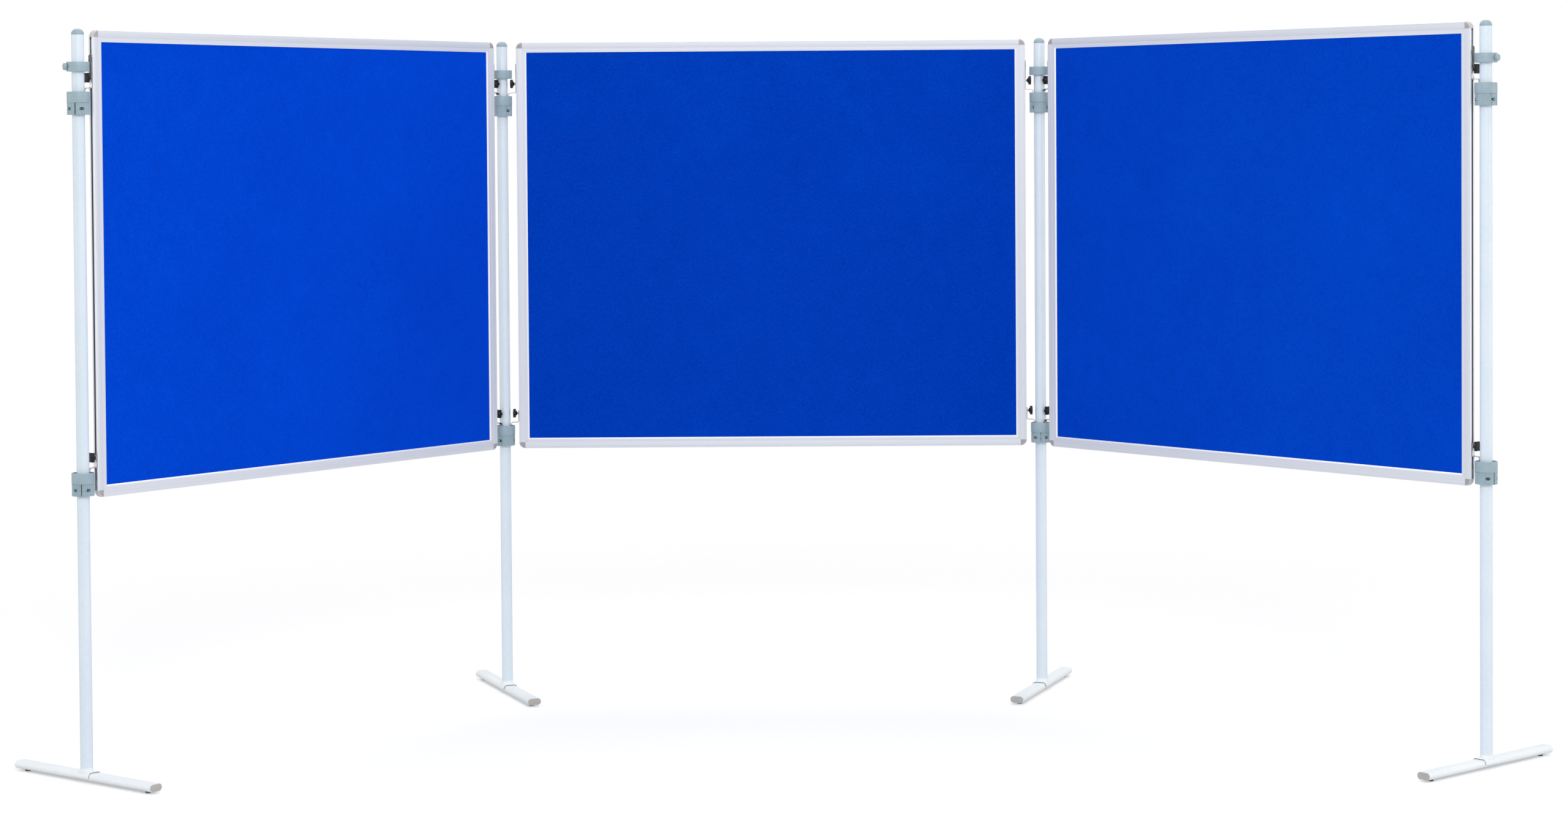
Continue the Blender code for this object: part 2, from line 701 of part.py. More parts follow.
def main():
    clear_scene()
    meshes = make_meshes()
    materials = make_materials()
    root = empty("pinboard", None, (0, 0, 0), 0)
    left_turn = 180 + LEFT_SWING_DEGREES
    right_turn = -RIGHT_SWING_DEGREES
    inner_x = SPAN / 2
    centre = empty("centre_board", root, (-inner_x, 0, 0), 0)
    left = empty("left_board", root, (-inner_x, 0, 0), left_turn)
    right = empty("right_board", root, (inner_x, 0, 0), right_turn)
    build_board("centre", centre, ((2, 0, 0), (3, SPAN, 180)), meshes, materials)
    build_board("left", left, ((2, 0, 0), (1, SPAN, 180)), meshes, materials)
    build_board("right", right, ((3, 0, 0), (4, SPAN, 180)), meshes, materials)
    left_end = Vector((SPAN, 0, 0))
    left_end.rotate(Matrix.Rotation(math.radians(left_turn), 3, "Z"))
    right_end = Vector((SPAN, 0, 0))
    right_end.rotate(Matrix.Rotation(math.radians(right_turn), 3, "Z"))
    places = {
        1: Vector((-inner_x, 0, 0)) + left_end,
        2: Vector((-inner_x, 0, 0)),
        3: Vector((inner_x, 0, 0)),
        4: Vector((inner_x, 0, 0)) + right_end,
    }
    for number in POSTS:
        anchor = empty(f"post_{number}", root, places[number], 0)
        build_post(number, anchor, meshes, materials)
    stand_over_origin(root)


main()
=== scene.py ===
"""Looks of the mobile pinboard: three felt boards hooked between four posts on T-feet.

Metres, +Z up. Shapes are drawn round their own origin and put in place by a matrix.
A board's own axes: X runs along it from its first post's axis, Y through it, Z up.
"""

import json
import math

import bmesh
import bpy
from mathutils import Matrix, Vector, noise


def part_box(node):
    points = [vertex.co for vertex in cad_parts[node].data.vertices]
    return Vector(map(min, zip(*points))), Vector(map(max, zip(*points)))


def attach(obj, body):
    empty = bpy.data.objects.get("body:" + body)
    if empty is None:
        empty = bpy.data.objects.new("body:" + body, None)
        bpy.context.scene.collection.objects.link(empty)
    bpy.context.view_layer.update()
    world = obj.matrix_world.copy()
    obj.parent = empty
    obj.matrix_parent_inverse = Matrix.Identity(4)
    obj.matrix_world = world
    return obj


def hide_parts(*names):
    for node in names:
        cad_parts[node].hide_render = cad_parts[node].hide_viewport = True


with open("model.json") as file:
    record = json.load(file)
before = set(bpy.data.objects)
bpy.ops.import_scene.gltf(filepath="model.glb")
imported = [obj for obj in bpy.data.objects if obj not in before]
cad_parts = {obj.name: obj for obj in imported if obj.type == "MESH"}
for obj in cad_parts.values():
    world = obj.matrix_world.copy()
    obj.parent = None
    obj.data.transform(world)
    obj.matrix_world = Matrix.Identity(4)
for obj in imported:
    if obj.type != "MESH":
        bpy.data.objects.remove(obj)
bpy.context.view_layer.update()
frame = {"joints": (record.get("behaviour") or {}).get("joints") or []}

# The set: what stands where
POSTS = (1, 2, 3, 4)
BOARDS = {"centre": (2, 3), "left": (2, 1), "right": (3, 4)}
LEVELS = ("top", "bottom")
# How far each post's foot and collars are turned from +X
FOOT_DEGREES = {1: -37.1, 2: -67.4, 3: -110.0, 4: -138.0}
COLLAR_DEGREES = {
    "top": {1: -94.0, 2: -9.5, 3: 3.0, 4: -24.0},
    "bottom": {1: -85.0, 2: 26.5, 3: -94.0, 4: -58.0},
}

# Heights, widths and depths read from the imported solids
frame_low, frame_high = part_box("centre_frame")
panel_low, panel_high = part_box("centre_panel")
FRAME_DEPTH = frame_high.y - frame_low.y
PANEL_DEPTH = panel_high.y - panel_low.y
BOARD_BOTTOM = frame_low.z
BOARD_HEIGHT = frame_high.z - frame_low.z
BOARD_WIDTH = frame_high.x - frame_low.x
RIM_HEIGHTS = {level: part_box(f"post_2_{level}_collar")[1].z for level in LEVELS}
RING_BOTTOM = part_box("post_2_lock_ring")[0].z
RING_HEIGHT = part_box("post_2_lock_ring")[1].z - RING_BOTTOM
TUBE_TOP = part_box("post_2_tube")[1].z
CAP_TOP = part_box("post_2_cap")[1].z

# Rails and corner pieces
BAND_WIDTH = 0.018
BAND_STEP = 0.0008
LEDGE_WIDTH = 0.0085
LIP_WIDTH = 0.004
LIP_EDGE = 0.0007
LIP_BEVEL = 0.0026
GROOVE_WIDTH = 0.006
GROOVE_DEPTH = 0.009
GROOVE_LIP = 0.0018
NUT_ROOM = 0.0095
WEB_THICKNESS = 0.003
LINE_INSET = 0.0045
LINE_WIDTH = 0.0007
LINE_DEPTH = 0.00035
RAIL_ROUND = 0.0014
STEP_ROUND = 0.0003
SEAM = 0.00015
CORNER_DOME = 0.0042
FELT_THICKNESS = 0.0015
FELT_SWELL = 0.0004
TONGUE_INSET = 0.0123
FIELD_INSET = 0.0308
FELT_WAVE = 0.00015
FELT_WAVE_LENGTH = 0.22
FELT_CELLS = 24

# Corner brackets and slot nuts in the grooves
BRACKET_LENGTH = 0.032
BRACKET_WIDTH = 0.0086
BRACKET_THICKNESS = 0.003
GRUB_RADIUS = 0.0027
GRUB_PLACES = (0.003, 0.0095, 0.016, 0.0225)
GRUB_SOCKET = 0.0014
GRUB_HEIGHT = 0.0045
NUT_LENGTH = 0.018
NUT_WIDTH = 0.0085
NUT_THICKNESS = 0.0045

# Hooks, measured from the post's axis and the rim of the cup
HOOK_THICKNESS = 0.002
HOOK_EDGE = 0.0003
ARM_WIDTH = 0.011
ARM_RISE = 0.0085
PLATE_BEND = 0.004
TIP_BEND = 0.0075
TIP_CLEARANCE = 0.001
HEAD_WIDTH = 0.014
HEAD_TIP_WIDTH = 0.007
HEAD_TAPER = 0.0035
HEAD_LENGTH = 0.014
HEAD_NECK = 0.004
HEAD_RISE = 0.0595
PLATE_RISE = 0.009
PLATE_TAPER = 0.0025
KEY_RISE = 0.0715
KEY_THICKNESS = 0.0015
KNOB_ABOVE_RIM = 0.036

# Star knobs
KNOB_RADIUS = 0.014
KNOB_LOBES = 6
KNOB_LOBE_DEPTH = 0.0032
KNOB_THICKNESS = 0.0074
KNOB_ROUND = 0.0016
KNOB_DISH = 0.0008
KNOB_HUB_RADIUS = 0.0085
KNOB_HUB_TIP_RADIUS = 0.0042
KNOB_HUB_LENGTH = 0.0043
STUD_SHOW = 0.0036
STUD_RADIUS = 0.0025
STUD_PITCH = 0.0008
STUD_THREAD = 0.0003
STUD_ENGAGEMENT = 0.006
STUD_TIP_GAP = 0.0006
WASHER_RADIUS = 0.005
WASHER_THICKNESS = 0.0009

# Posts, caps and feet
TUBE_RADIUS = 0.016
TUBE_WALL = 0.002
CAP_SPIGOT = 0.018
CAP_SEAM = 0.0006
FOOT_LENGTH = 0.53
FOOT_WIDTH = 0.04
FOOT_HEIGHT = 0.02
FOOT_TOP = 0.026
FOOT_WALL = 0.002
END_CAP_THICKNESS = 0.004
END_CAP_ROUND = 0.0012
GLIDE_RADIUS = 0.007
GLIDE_HEIGHT = 0.006
GLIDE_INSET = 0.03
SADDLE_LENGTH = 0.062
SADDLE_WALL = 0.0017
SADDLE_SKIRT = 0.002
SEAM_WIDTH = 0.0015
SEAM_DEPTH = 0.007
FLARE_RADIUS = 0.009
FLARE_SIDE = 0.0025
BOLT_RADIUS = 0.004
BOLT_HEAD_RADIUS = 0.0065
BOLT_HEAD_HEIGHT = 0.005
BOLT_RISE = 0.02

# Collars, lock rings and ring knobs
COLLAR_RADIUS = 0.029
COLLAR_HEIGHT = 0.059
COLLAR_RIM_ROUND = 0.0021
COLLAR_FOOT_ROUND = 0.0006
CUP_BAND = 0.028
CUP_DEPTH = 0.022
CUP_WALL = 0.0025
CUP_GROOVE = 0.0009
CLAMP_STEP = 0.0006
CLAMP_SLOT = 0.0025
RIB_COUNT = 36
RIB_GROOVE = 0.0013
RIB_DEPTH = 0.0009
POCKET_RADIUS = 0.004
POCKET_OFFSET = 0.0225
POCKET_FLOOR = 0.0105
SCREW_HEAD_RADIUS = 0.0022
SCREW_RADIUS = 0.002
SCREW_HEAD_HEIGHT = 0.0024
SCREW_SOCKET = 0.001
SCREW_LENGTH = 0.0235
SCREW_DROP = -0.0435
RING_ROUND = 0.0009
RING_LINE = 0.0003
RING_KNOB_RADIUS = 0.009
RING_KNOB_LENGTH = 0.0095
RING_KNOB_NECK = 0.0014
RING_KNOB_CROWN = 0.0016
RING_KNOB_TOP_SHARE = 0.62
FLUTE_COUNT = 14
FLUTE_DEPTH = 0.0009
FLUTE_START_SHARE = 0.9

# How finely pieces are drawn, and the gaps left between them
FIT_GAP = 0.0003
OVERRUN = 0.004
WELD = 0.000004
ROUND_STEPS = 96
MIDDLE_STEPS = 48
SMALL_STEPS = 24
NUT_SIDES = 6
RIB_STEPS = 8
LOBE_STEPS = 16
FLUTE_STEPS = 6
TINY_ARC = 2
SMALL_ARC = 3
RIM_ARC = 4
ARC_STEPS = 5
BEND_ARC = 8
FLARE_ARC = 10
WIDE_ARC = 12
DOME_ARC = 16
SMOOTH_ANGLE = math.radians(32)
FLAT_LIMIT = 0.95
LIP_FACING = 0.3

# Colours: a screen's levels and their curve, and the range that a grain's noise covers
FULL_LEVEL = 255
CURVE_FOOT = 0.04045
CURVE_SLOPE = 12.92
CURVE_LIFT = 0.055
CURVE_POWER = 2.4
TONE_LOW = 0.36
TONE_HIGH = 0.64
BRUSHED = (0.02, 40, 1)

# The studio's light, and the camera found from the photograph
FLOOR_SIZE = 16.0
FLOOR_LEVEL = 0.8
FLOOR_LIFT = 0.31
FADE_START = 2.3
FADE_END = 4.3
WORLD_LEVEL = 0.6
# Each softbox: its name, its place, what it points at, its size and its watts
SOFTBOXES = (
    ("left_box", (-6.5, -1.5, 1.6), (1.3, 0, 1.2), (2.5, 2.5), 30),
    ("right_box", (6.5, -1.5, 1.6), (-1.3, 0, 1.2), (2.5, 2.5), 45),
    ("front_box", (0.6, -7.0, 4.2), (0, 0, 1.2), (3.0, 2.0), 190),
    ("top_box", (0, 1.0, 5.6), (0, 0.9, 0), (7.0, 5.0), 118),
)
SENSOR_WIDTH = 36.0
IMAGE_WIDTH = 2560
FOCAL_PIXELS = 5084.79
CAMERA_SHIFT = -0.1182
CAMERA_PITCH = math.radians(1.5)
CAMERA_YAW = 0.0097
CAMERA_ROLL = 0.0068
CAMERA_PLACE = (0.080723, -8.599412, 1.62988)

# What follows from the frame's joints and the sizes above
JOINTS = {item["name"]: item for item in frame["joints"]}
FEET = {post: Vector(JOINTS[f"turn_{post}"]["pos_m"]) for post in POSTS}
POST_REACH = frame_low.x - FEET[2].x
SPAN = BOARD_WIDTH + 2 * POST_REACH
HALF_DEPTH = FRAME_DEPTH / 2
LEDGE_DEPTH = HALF_DEPTH - BAND_STEP
CHANNEL_HALF = LEDGE_DEPTH - LIP_BEVEL - LIP_EDGE
RAIL_WIDTH = BAND_WIDTH + LEDGE_WIDTH + LIP_WIDTH
FOOT_RADIUS = FOOT_HEIGHT / 2
FOOT_MIDDLE = FOOT_TOP - FOOT_RADIUS
FOOT_FLAT = FOOT_WIDTH / 2 - FOOT_RADIUS
SADDLE_RADIUS = FOOT_RADIUS + FIT_GAP + SADDLE_WALL
SADDLE_TOP = FOOT_MIDDLE + SADDLE_RADIUS
CHANNEL_DEPTH = GROOVE_DEPTH + WEB_THICKNESS
BORE = TUBE_RADIUS + FIT_GAP
PLATE_FACE = POST_REACH - FIT_GAP - HOOK_THICKNESS

# Ways of turning a drawn shape: where its own X, Y and Z end up
LYING_RAIL = Matrix(((0, 1, 0, 0), (0, 0, 1, 0), (1, 0, 0, 0), (0, 0, 0, 1)))
LYING_OVAL = Matrix(((0, 0, 1, 0), (1, 0, 0, 0), (0, 1, 0, 0), (0, 0, 0, 1)))
FACING_POST = Matrix.Rotation(-math.pi / 2, 4, "Y")
ALONG_Y = Matrix.Rotation(-math.pi / 2, 4, "X")


def spun(degrees):
    return Matrix.Rotation(math.radians(degrees), 4, "Z")


def moved(x=0.0, y=0.0, z=0.0):
    return Matrix.Translation((x, y, z))


def wire(points, steps=ARC_STEPS, joined=True):
    """A wire in the XZ plane through (x, z) corners; a third number rounds a corner."""
    shape = bmesh.new()
    corners = [shape.verts.new((point[0], 0, point[1])) for point in points]
    ends = list(zip(corners, corners[1:]))
    if joined:
        ends.append((corners[-1], corners[0]))
    for end in ends:
        shape.edges.new(end)
    for corner, point in zip(corners, points):
        if len(point) > 2:
            bmesh.ops.bevel(
                shape,
                geom=[corner],
                offset=point[2],
                offset_type="OFFSET",
                segments=steps,
                profile=0.5,
                affect="VERTICES",
                material=-1,
            )
    return shape


def far_end(grown):
    """The new vertices that an extrusion has made."""
    return [item for item in grown["geom"] if isinstance(item, bmesh.types.BMVert)]


def sealed(shape):
    """Welds the seams, caps what is open and turns every face outwards."""
    bmesh.ops.remove_doubles(shape, verts=shape.verts, dist=WELD)
    bmesh.ops.dissolve_degenerate(shape, edges=shape.edges, dist=WELD)
    rims = [edge for edge in shape.edges if edge.is_boundary]
    if rims:
        bmesh.ops.holes_fill(shape, edges=rims, sides=0)
    bmesh.ops.recalc_face_normals(shape, faces=shape.faces)
    return shape


def drawn_out(shape, length):
    """Fills a closed wire and draws it out along Y."""
    bmesh.ops.contextual_create(shape, geom=shape.edges[:])
    grown = bmesh.ops.extrude_face_region(shape, geom=shape.faces[:])
    far = far_end(grown)
    bmesh.ops.translate(shape, verts=far, vec=(0, length, 0))
    return sealed(shape)


def turned(points, steps=ROUND_STEPS, arc=ARC_STEPS):
    """A solid of revolution round Z; it is open at the axis where its ends lie on it."""
    on_axis = points[0][0] == 0 and points[-1][0] == 0
    shape = wire(points, arc, not on_axis)
    bmesh.ops.spin(
        shape,
        geom=shape.verts[:] + shape.edges[:],
        cent=(0, 0, 0),
        axis=(0, 0, 1),
        dvec=(0, 0, 0),
        angle=math.tau,
        steps=steps,
        use_merge=True,
        use_duplicate=False,
    )
    return sealed(shape)


def softened(shape, edges, offset, segments=SMALL_ARC):
    """Rounds edges of a shape."""
    bmesh.ops.bevel(
        shape,
        geom=edges,
        offset=offset,
        offset_type="OFFSET",
        segments=segments,
        profile=0.5,
        affect="EDGES",
        clamp_overlap=True,
        material=-1,
    )
    return shape


def block(size_x, size_y, size_z, edge=0.0):
    """A block round the origin, with all its edges rounded where an edge size is given."""
    shape = bmesh.new()
    bmesh.ops.create_cube(shape, size=1)
    bmesh.ops.scale(shape, verts=shape.verts, vec=(size_x, size_y, size_z))
    return softened(shape, shape.edges[:], edge) if edge else shape


def hexagon(radius, height, edge):
    """A six-sided nut, standing on its underside."""
    shape = bmesh.new()
    bmesh.ops.create_cone(
        shape,
        cap_ends=True,
        segments=NUT_SIDES,
        radius1=radius,
        radius2=radius,
        depth=height,
        matrix=moved(z=height / 2),
    )
    return softened(shape, shape.edges[:], edge, 1)


def put_at(shape, place):
    """Moves a drawn shape by a matrix."""
    bmesh.ops.transform(shape, matrix=place, verts=shape.verts)
    return shape


def meshed(shape, name):
    """Turns a drawn shape into a mesh of its own."""
    mesh = bpy.data.meshes.new(name)
    shape.to_mesh(mesh)
    shape.free()
    return mesh


def added(name, data):
    """A new object in the scene, for a mesh, a light or a camera."""
    item = bpy.data.objects.new(name, data)
    bpy.context.scene.collection.objects.link(item)
    return item


def together(*shapes):
    """Several shapes in one mesh, side by side."""
    whole = bmesh.new()
    for shape in shapes:
        mesh = meshed(shape, "part")
        whole.from_mesh(mesh)
        bpy.data.meshes.remove(mesh)
    return whole


def carved(shape, tools, how="DIFFERENCE"):
    """Cuts the tools out of a closed shape, or joins them to it."""
    holders = []
    for part in (shape, tools):
        holders.append(added("stock", meshed(part, "stock")))
    cut = holders[0].modifiers.new("cut", "BOOLEAN")
    cut.operation = how
    cut.solver = "EXACT"
    cut.use_self = how == "UNION"
    cut.object = holders[1]
    graph = bpy.context.evaluated_depsgraph_get()
    result = bmesh.new()
    result.from_object(holders[0], graph)
    for holder in holders:
        mesh = holder.data
        bpy.data.objects.remove(holder)
        bpy.data.meshes.remove(mesh)
    bmesh.ops.remove_doubles(result, verts=result.verts, dist=WELD)
    return result


def fitted(name, shape, place, body, finish, stands_for=()):
    """Makes a piece of a drawn shape, in its place, and hangs it on its body."""
    put_at(shape, place)
    mesh = meshed(shape, name)
    for material in finish if isinstance(finish, list) else [finish]:
        mesh.materials.append(material)
    mesh.shade_smooth()
    mesh.set_sharp_from_angle(angle=SMOOTH_ANGLE)
    piece = added(name, mesh)
    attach(piece, body)
    if stands_for:
        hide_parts(*stands_for)
    return piece


# Finishes


def colour(red, green, blue):
    """A shader's colour from the 0 to 255 levels seen on a screen."""
    levels = [level / FULL_LEVEL for level in (red, green, blue)]
    return [
        ((x + CURVE_LIFT) / (1 + CURVE_LIFT)) ** CURVE_POWER if x > CURVE_FOOT else x / CURVE_SLOPE
        for x in levels
    ] + [1]


def put(material, kind, sockets, **settings):
    """Adds a node; a socket takes a plain value or another node's output."""
    node = material.node_tree.nodes.new(kind)
    for name, value in settings.items():
        setattr(node, name, value)
    for name, value in sockets.items():
        if isinstance(value, bpy.types.NodeSocket):
            material.node_tree.links.new(value, node.inputs[name])
        else:
            node.inputs[name].default_value = value
    return node


def maths(material, operation, first, second):
    """The output of a Math node on two values."""
    return put(material, "ShaderNodeMath", {0: first, 1: second}, operation=operation).outputs[0]


def grain(material, where, layers):
    """Noise of several sizes, added up by share into one value round 0.5."""
    total = None
    for pitch, share in layers:
        noise_node = put(material, "ShaderNodeTexNoise", {"Vector": where, "Scale": 1 / pitch})
        part = maths(material, "MULTIPLY", noise_node.outputs[0], share)
        total = part if total is None else maths(material, "ADD", total, part)
    return total


def surface(name, dark, light, rough, layers, fine, depth, stretch=None, uv=None, **shader):
    """A finish: colour and roughness follow one grain, the relief a finer one."""
    material = bpy.data.materials.new(name)
    material.use_nodes = True
    principled = material.node_tree.nodes["Principled BSDF"]
    if uv:
        where = put(material, "ShaderNodeUVMap", {}, uv_map=uv).outputs["UV"]
    else:
        where = put(material, "ShaderNodeTexCoord", {}).outputs["Object"]
    if stretch:
        where = put(material, "ShaderNodeMapping", {"Vector": where, "Scale": stretch}).outputs[0]
    tone = grain(material, where, layers)
    ramp = put(material, "ShaderNodeValToRGB", {"Fac": tone})
    ramp.color_ramp.elements[0].position = TONE_LOW
    ramp.color_ramp.elements[0].color = colour(*dark)
    ramp.color_ramp.elements[1].position = TONE_HIGH
    ramp.color_ramp.elements[1].color = colour(*light)
    link = material.node_tree.links.new
    link(ramp.outputs["Color"], principled.inputs["Base Color"])
    spread = put(
        material,
        "ShaderNodeMapRange",
        {
            "Value": tone,
            "From Min": TONE_LOW,
            "From Max": TONE_HIGH,
            "To Min": rough[0],
            "To Max": rough[1],
        },
    )
    link(spread.outputs[0], principled.inputs["Roughness"])
    relief = grain(material, where, fine)
    bump = put(material, "ShaderNodeBump", {"Height": relief, "Distance": depth})
    link(bump.outputs["Normal"], principled.inputs["Normal"])
    for socket, value in shader.items():
        principled.inputs[socket.replace("_", " ")].default_value = value
    return material


aluminium = surface(
    "matt aluminium", dark=(212, 216, 223), light=(224, 227, 233), rough=(0.5, 0.42),
    layers=((0.4, 0.5), (0.02, 0.5)), fine=((0.012, 1.0),), depth=0.00002, stretch=BRUSHED,
    uv="grain", Metallic=0.15,
)
# The inner lip's bevel and the rails' rounded outer edges: near-white aluminium, a painted
# highlight
painted_edge_highlight = surface(
    "aluminium with painted edge highlight", dark=(244, 246, 250), light=(252, 253, 255), rough=(0.35, 0.28),
    layers=((0.3, 0.5), (0.02, 0.5)), fine=((0.012, 1.0),), depth=0.00001, stretch=BRUSHED,
    uv="grain", Metallic=0.1,
)
# The groove's hidden walls: aluminium darkened with painted shade, where the groove's shadow falls
painted_groove_shade = surface(
    "aluminium with painted groove shade", dark=(104, 106, 112), light=(124, 126, 130), rough=(0.7, 0.6),
    layers=((0.3, 0.5), (0.02, 0.5)), fine=((0.012, 1.0),), depth=0.00002, stretch=BRUSHED,
    uv="grain",
)
# The corner plugs' rounded rim: the grey plastic in a lighter copy, a painted highlight
painted_rim_highlight = surface(
    "corner plastic with painted rim highlight", dark=(196, 193, 194), light=(206, 203, 204), rough=(0.42, 0.34),
    layers=((0.05, 0.5), (0.004, 0.5)), fine=((0.0006, 1.0),), depth=0.00002,
)
corner_face = surface(
    "textured corner face", dark=(158, 155, 157), light=(174, 171, 172), rough=(0.55, 0.42),
    layers=((0.05, 0.5), (0.004, 0.5)), fine=((0.0006, 1.0),), depth=0.00004,
)
felt_layers = ((0.4, 0.14), (0.05, 0.1), (0.007, 0.26), (0.002, 0.5))
felt_relief = ((0.0016, 0.5), (0.0006, 0.5))
# One blue felt per board, each copy lighter or darker to paint the light and sheen that board
# catches
felt_with_painted_light = {}
for board, dark, light in (
    ("left", (0, 60, 194), (0, 78, 222)),
    ("centre", (0, 53, 172), (0, 71, 199)),
    ("right", (0, 59, 184), (0, 76, 211)),
):
    felt_with_painted_light[board] = surface(
        f"blue felt of the {board} board", dark=dark, light=light, rough=(1.0, 0.92),
        layers=felt_layers, fine=felt_relief, depth=0.0006, Sheen_Weight=0.15, Sheen_Roughness=0.4,
        Sheen_Tint=colour(40, 110, 255), Specular_IOR_Level=0.02,
    )
softboard = surface(
    "softboard", dark=(120, 92, 60), light=(158, 128, 90), rough=(0.95, 0.85),
    layers=((0.01, 0.5), (0.002, 0.5)), fine=((0.001, 1.0),), depth=0.0004,
)
bright_zinc = surface(
    "bright zinc", dark=(150, 152, 155), light=(196, 198, 201), rough=(0.42, 0.28),
    layers=((0.02, 0.4), (0.003, 0.6)), fine=((0.0012, 0.5), (0.0003, 0.5)), depth=0.00004,
    Metallic=1.0,
)
# Zinc darkened with painted shade: the hooks' flat faces above the knobs, as a painted dark
# reflection, and the keys
painted_shade_zinc = surface(
    "zinc with painted shade", dark=(70, 72, 76), light=(110, 112, 116), rough=(0.6, 0.42),
    layers=((0.01, 0.4), (0.002, 0.6)), fine=((0.0012, 0.5), (0.0003, 0.5)), depth=0.00005,
    Metallic=0.6,
)
black_plastic = surface(
    "black plastic", dark=(13, 13, 20), light=(27, 28, 37), rough=(0.5, 0.36),
    layers=((0.02, 0.4), (0.002, 0.6)), fine=((0.0005, 1.0),), depth=0.00004,
    Specular_IOR_Level=0.3,
)
pale_powder = surface(
    "pale powder coat", dark=(218, 231, 241), light=(225, 236, 246), rough=(0.42, 0.32),
    layers=((0.15, 0.6), (0.01, 0.4)), fine=((0.0012, 0.7), (0.0004, 0.3)), depth=0.00005,
)
white_powder = surface(
    "white powder coat", dark=(234, 240, 244), light=(240, 245, 248), rough=(0.38, 0.3),
    layers=((0.15, 0.6), (0.01, 0.4)), fine=((0.0012, 0.7), (0.0004, 0.3)), depth=0.00005,
)
# The saddle's seam and inside: dark, painted shade in the gap under the saddle
painted_seam_shade = surface(
    "painted shade in the saddle seam", dark=(40, 46, 62), light=(56, 62, 80), rough=(0.42, 0.32),
    layers=((0.15, 0.6), (0.01, 0.4)), fine=((0.0012, 0.7), (0.0004, 0.3)), depth=0.00005,
)
collar_plastic = surface(
    "blue-grey plastic", dark=(148, 170, 180), light=(159, 181, 191), rough=(0.5, 0.38),
    layers=((0.03, 0.5), (0.003, 0.5)), fine=((0.0006, 1.0),), depth=0.00004,
)
# Blue-grey plastic darkened with painted shade, for the screw pockets and the clamp slot's walls
painted_pocket_shade = surface(
    "plastic with painted shade in pockets and slot", dark=(84, 102, 110), light=(98, 116, 124), rough=(0.5, 0.38),
    layers=((0.03, 0.5), (0.003, 0.5)), fine=((0.0006, 1.0),), depth=0.00004,
)
end_plastic = surface(
    "beige-grey end plastic", dark=(174, 171, 165), light=(185, 182, 176), rough=(0.5, 0.4),
    layers=((0.02, 0.5), (0.003, 0.5)), fine=((0.0006, 1.0),), depth=0.00004,
)
glide_plastic = surface(
    "dark brown glide", dark=(108, 96, 85), light=(130, 117, 105), rough=(0.6, 0.5),
    layers=((0.01, 0.5), (0.002, 0.5)), fine=((0.0006, 1.0),), depth=0.00004,
)


# Boards


def rail_outline():
    """Across a rail: X from the outer edge inwards, Z through the board."""
    line = LINE_WIDTH / 2
    front = [
        (0, GROOVE_WIDTH / 2, STEP_ROUND),
        (0, HALF_DEPTH, RAIL_ROUND),
        (LINE_INSET - line, HALF_DEPTH),
        (LINE_INSET, HALF_DEPTH - LINE_DEPTH),
        (LINE_INSET + line, HALF_DEPTH),
        (BAND_WIDTH, HALF_DEPTH, STEP_ROUND),
        (BAND_WIDTH, LEDGE_DEPTH),
        (BAND_WIDTH + LEDGE_WIDTH, LEDGE_DEPTH, STEP_ROUND),
        (RAIL_WIDTH, CHANNEL_HALF + LIP_EDGE),
        (RAIL_WIDTH, CHANNEL_HALF),
        (CHANNEL_DEPTH, CHANNEL_HALF),
    ]
    groove = [
        (0, GROOVE_WIDTH / 2),
        (GROOVE_LIP, GROOVE_WIDTH / 2),
        (GROOVE_LIP, NUT_ROOM / 2),
        (GROOVE_DEPTH, NUT_ROOM / 2),
    ]
    back = [(point[0], -point[1], *point[2:]) for point in reversed(front)]
    near = [(x, -z) for x, z in groove[1:]]
    return front + back + near + list(reversed(groove[1:]))


def rail(length):
    """A rail along Y from one corner of the board to the next, mitred inside the band."""
    shape = wire(rail_outline(), SMALL_ARC)
    bmesh.ops.translate(shape, verts=shape.verts, vec=(0, BAND_WIDTH, 0))
    drawn_out(shape, length - 2 * BAND_WIDTH)
    for end, facing in ((SEAM, -1), (length - SEAM, 1)):
        bmesh.ops.bisect_plane(
            shape,
            geom=shape.verts[:] + shape.edges[:] + shape.faces[:],
            plane_co=(0, end, 0),
            plane_no=(1, facing, 0),
            clear_outer=True,
        )
        sealed(shape)
    # The groove's hidden walls take painted shade, the inner lip's bevel and the rounded outer
    # edges a painted highlight
    layer = shape.loops.layers.uv.new("grain")
    for face in shape.faces:
        for loop in face.loops:
            spot = loop.vert.co
            loop[layer].uv = (spot.y, spot.x - spot.z)
        middle = face.calc_center_median()
        hidden = WELD < middle.x < CHANNEL_DEPTH - WELD and abs(middle.z) < NUT_ROOM / 2 + WELD
        if abs(face.normal.y) < FLAT_LIMIT:
            lip = middle.x > BAND_WIDTH + LEDGE_WIDTH + WELD and face.normal.x > LIP_FACING
            rounded = middle.x < RAIL_ROUND and abs(middle.z) > HALF_DEPTH - RAIL_ROUND
            face.material_index = 1 if hidden else 2 if lip or rounded else 0
    return shape


def corner_piece():
    """A quarter-round plug for a corner of the frame, X and Z from the corner inwards."""
    size = BAND_WIDTH - SEAM
    shape = block(size, FRAME_DEPTH, size)
    bmesh.ops.translate(shape, verts=shape.verts, vec=(size / 2, 0, size / 2))
    outer = [
        edge
        for edge in shape.edges
        if all(vert.co.x < WELD and vert.co.z < WELD for vert in edge.verts)
    ]
    softened(shape, outer, size - SEAM, WIDE_ARC)
    inner = size - WELD
    rim = [
        edge
        for edge in shape.edges
        if abs(edge.verts[0].co.y - edge.verts[1].co.y) < WELD
        and not all(vert.co.x > inner for vert in edge.verts)
        and not all(vert.co.z > inner for vert in edge.verts)
    ]
    return softened(shape, rim, CORNER_DOME, ARC_STEPS)


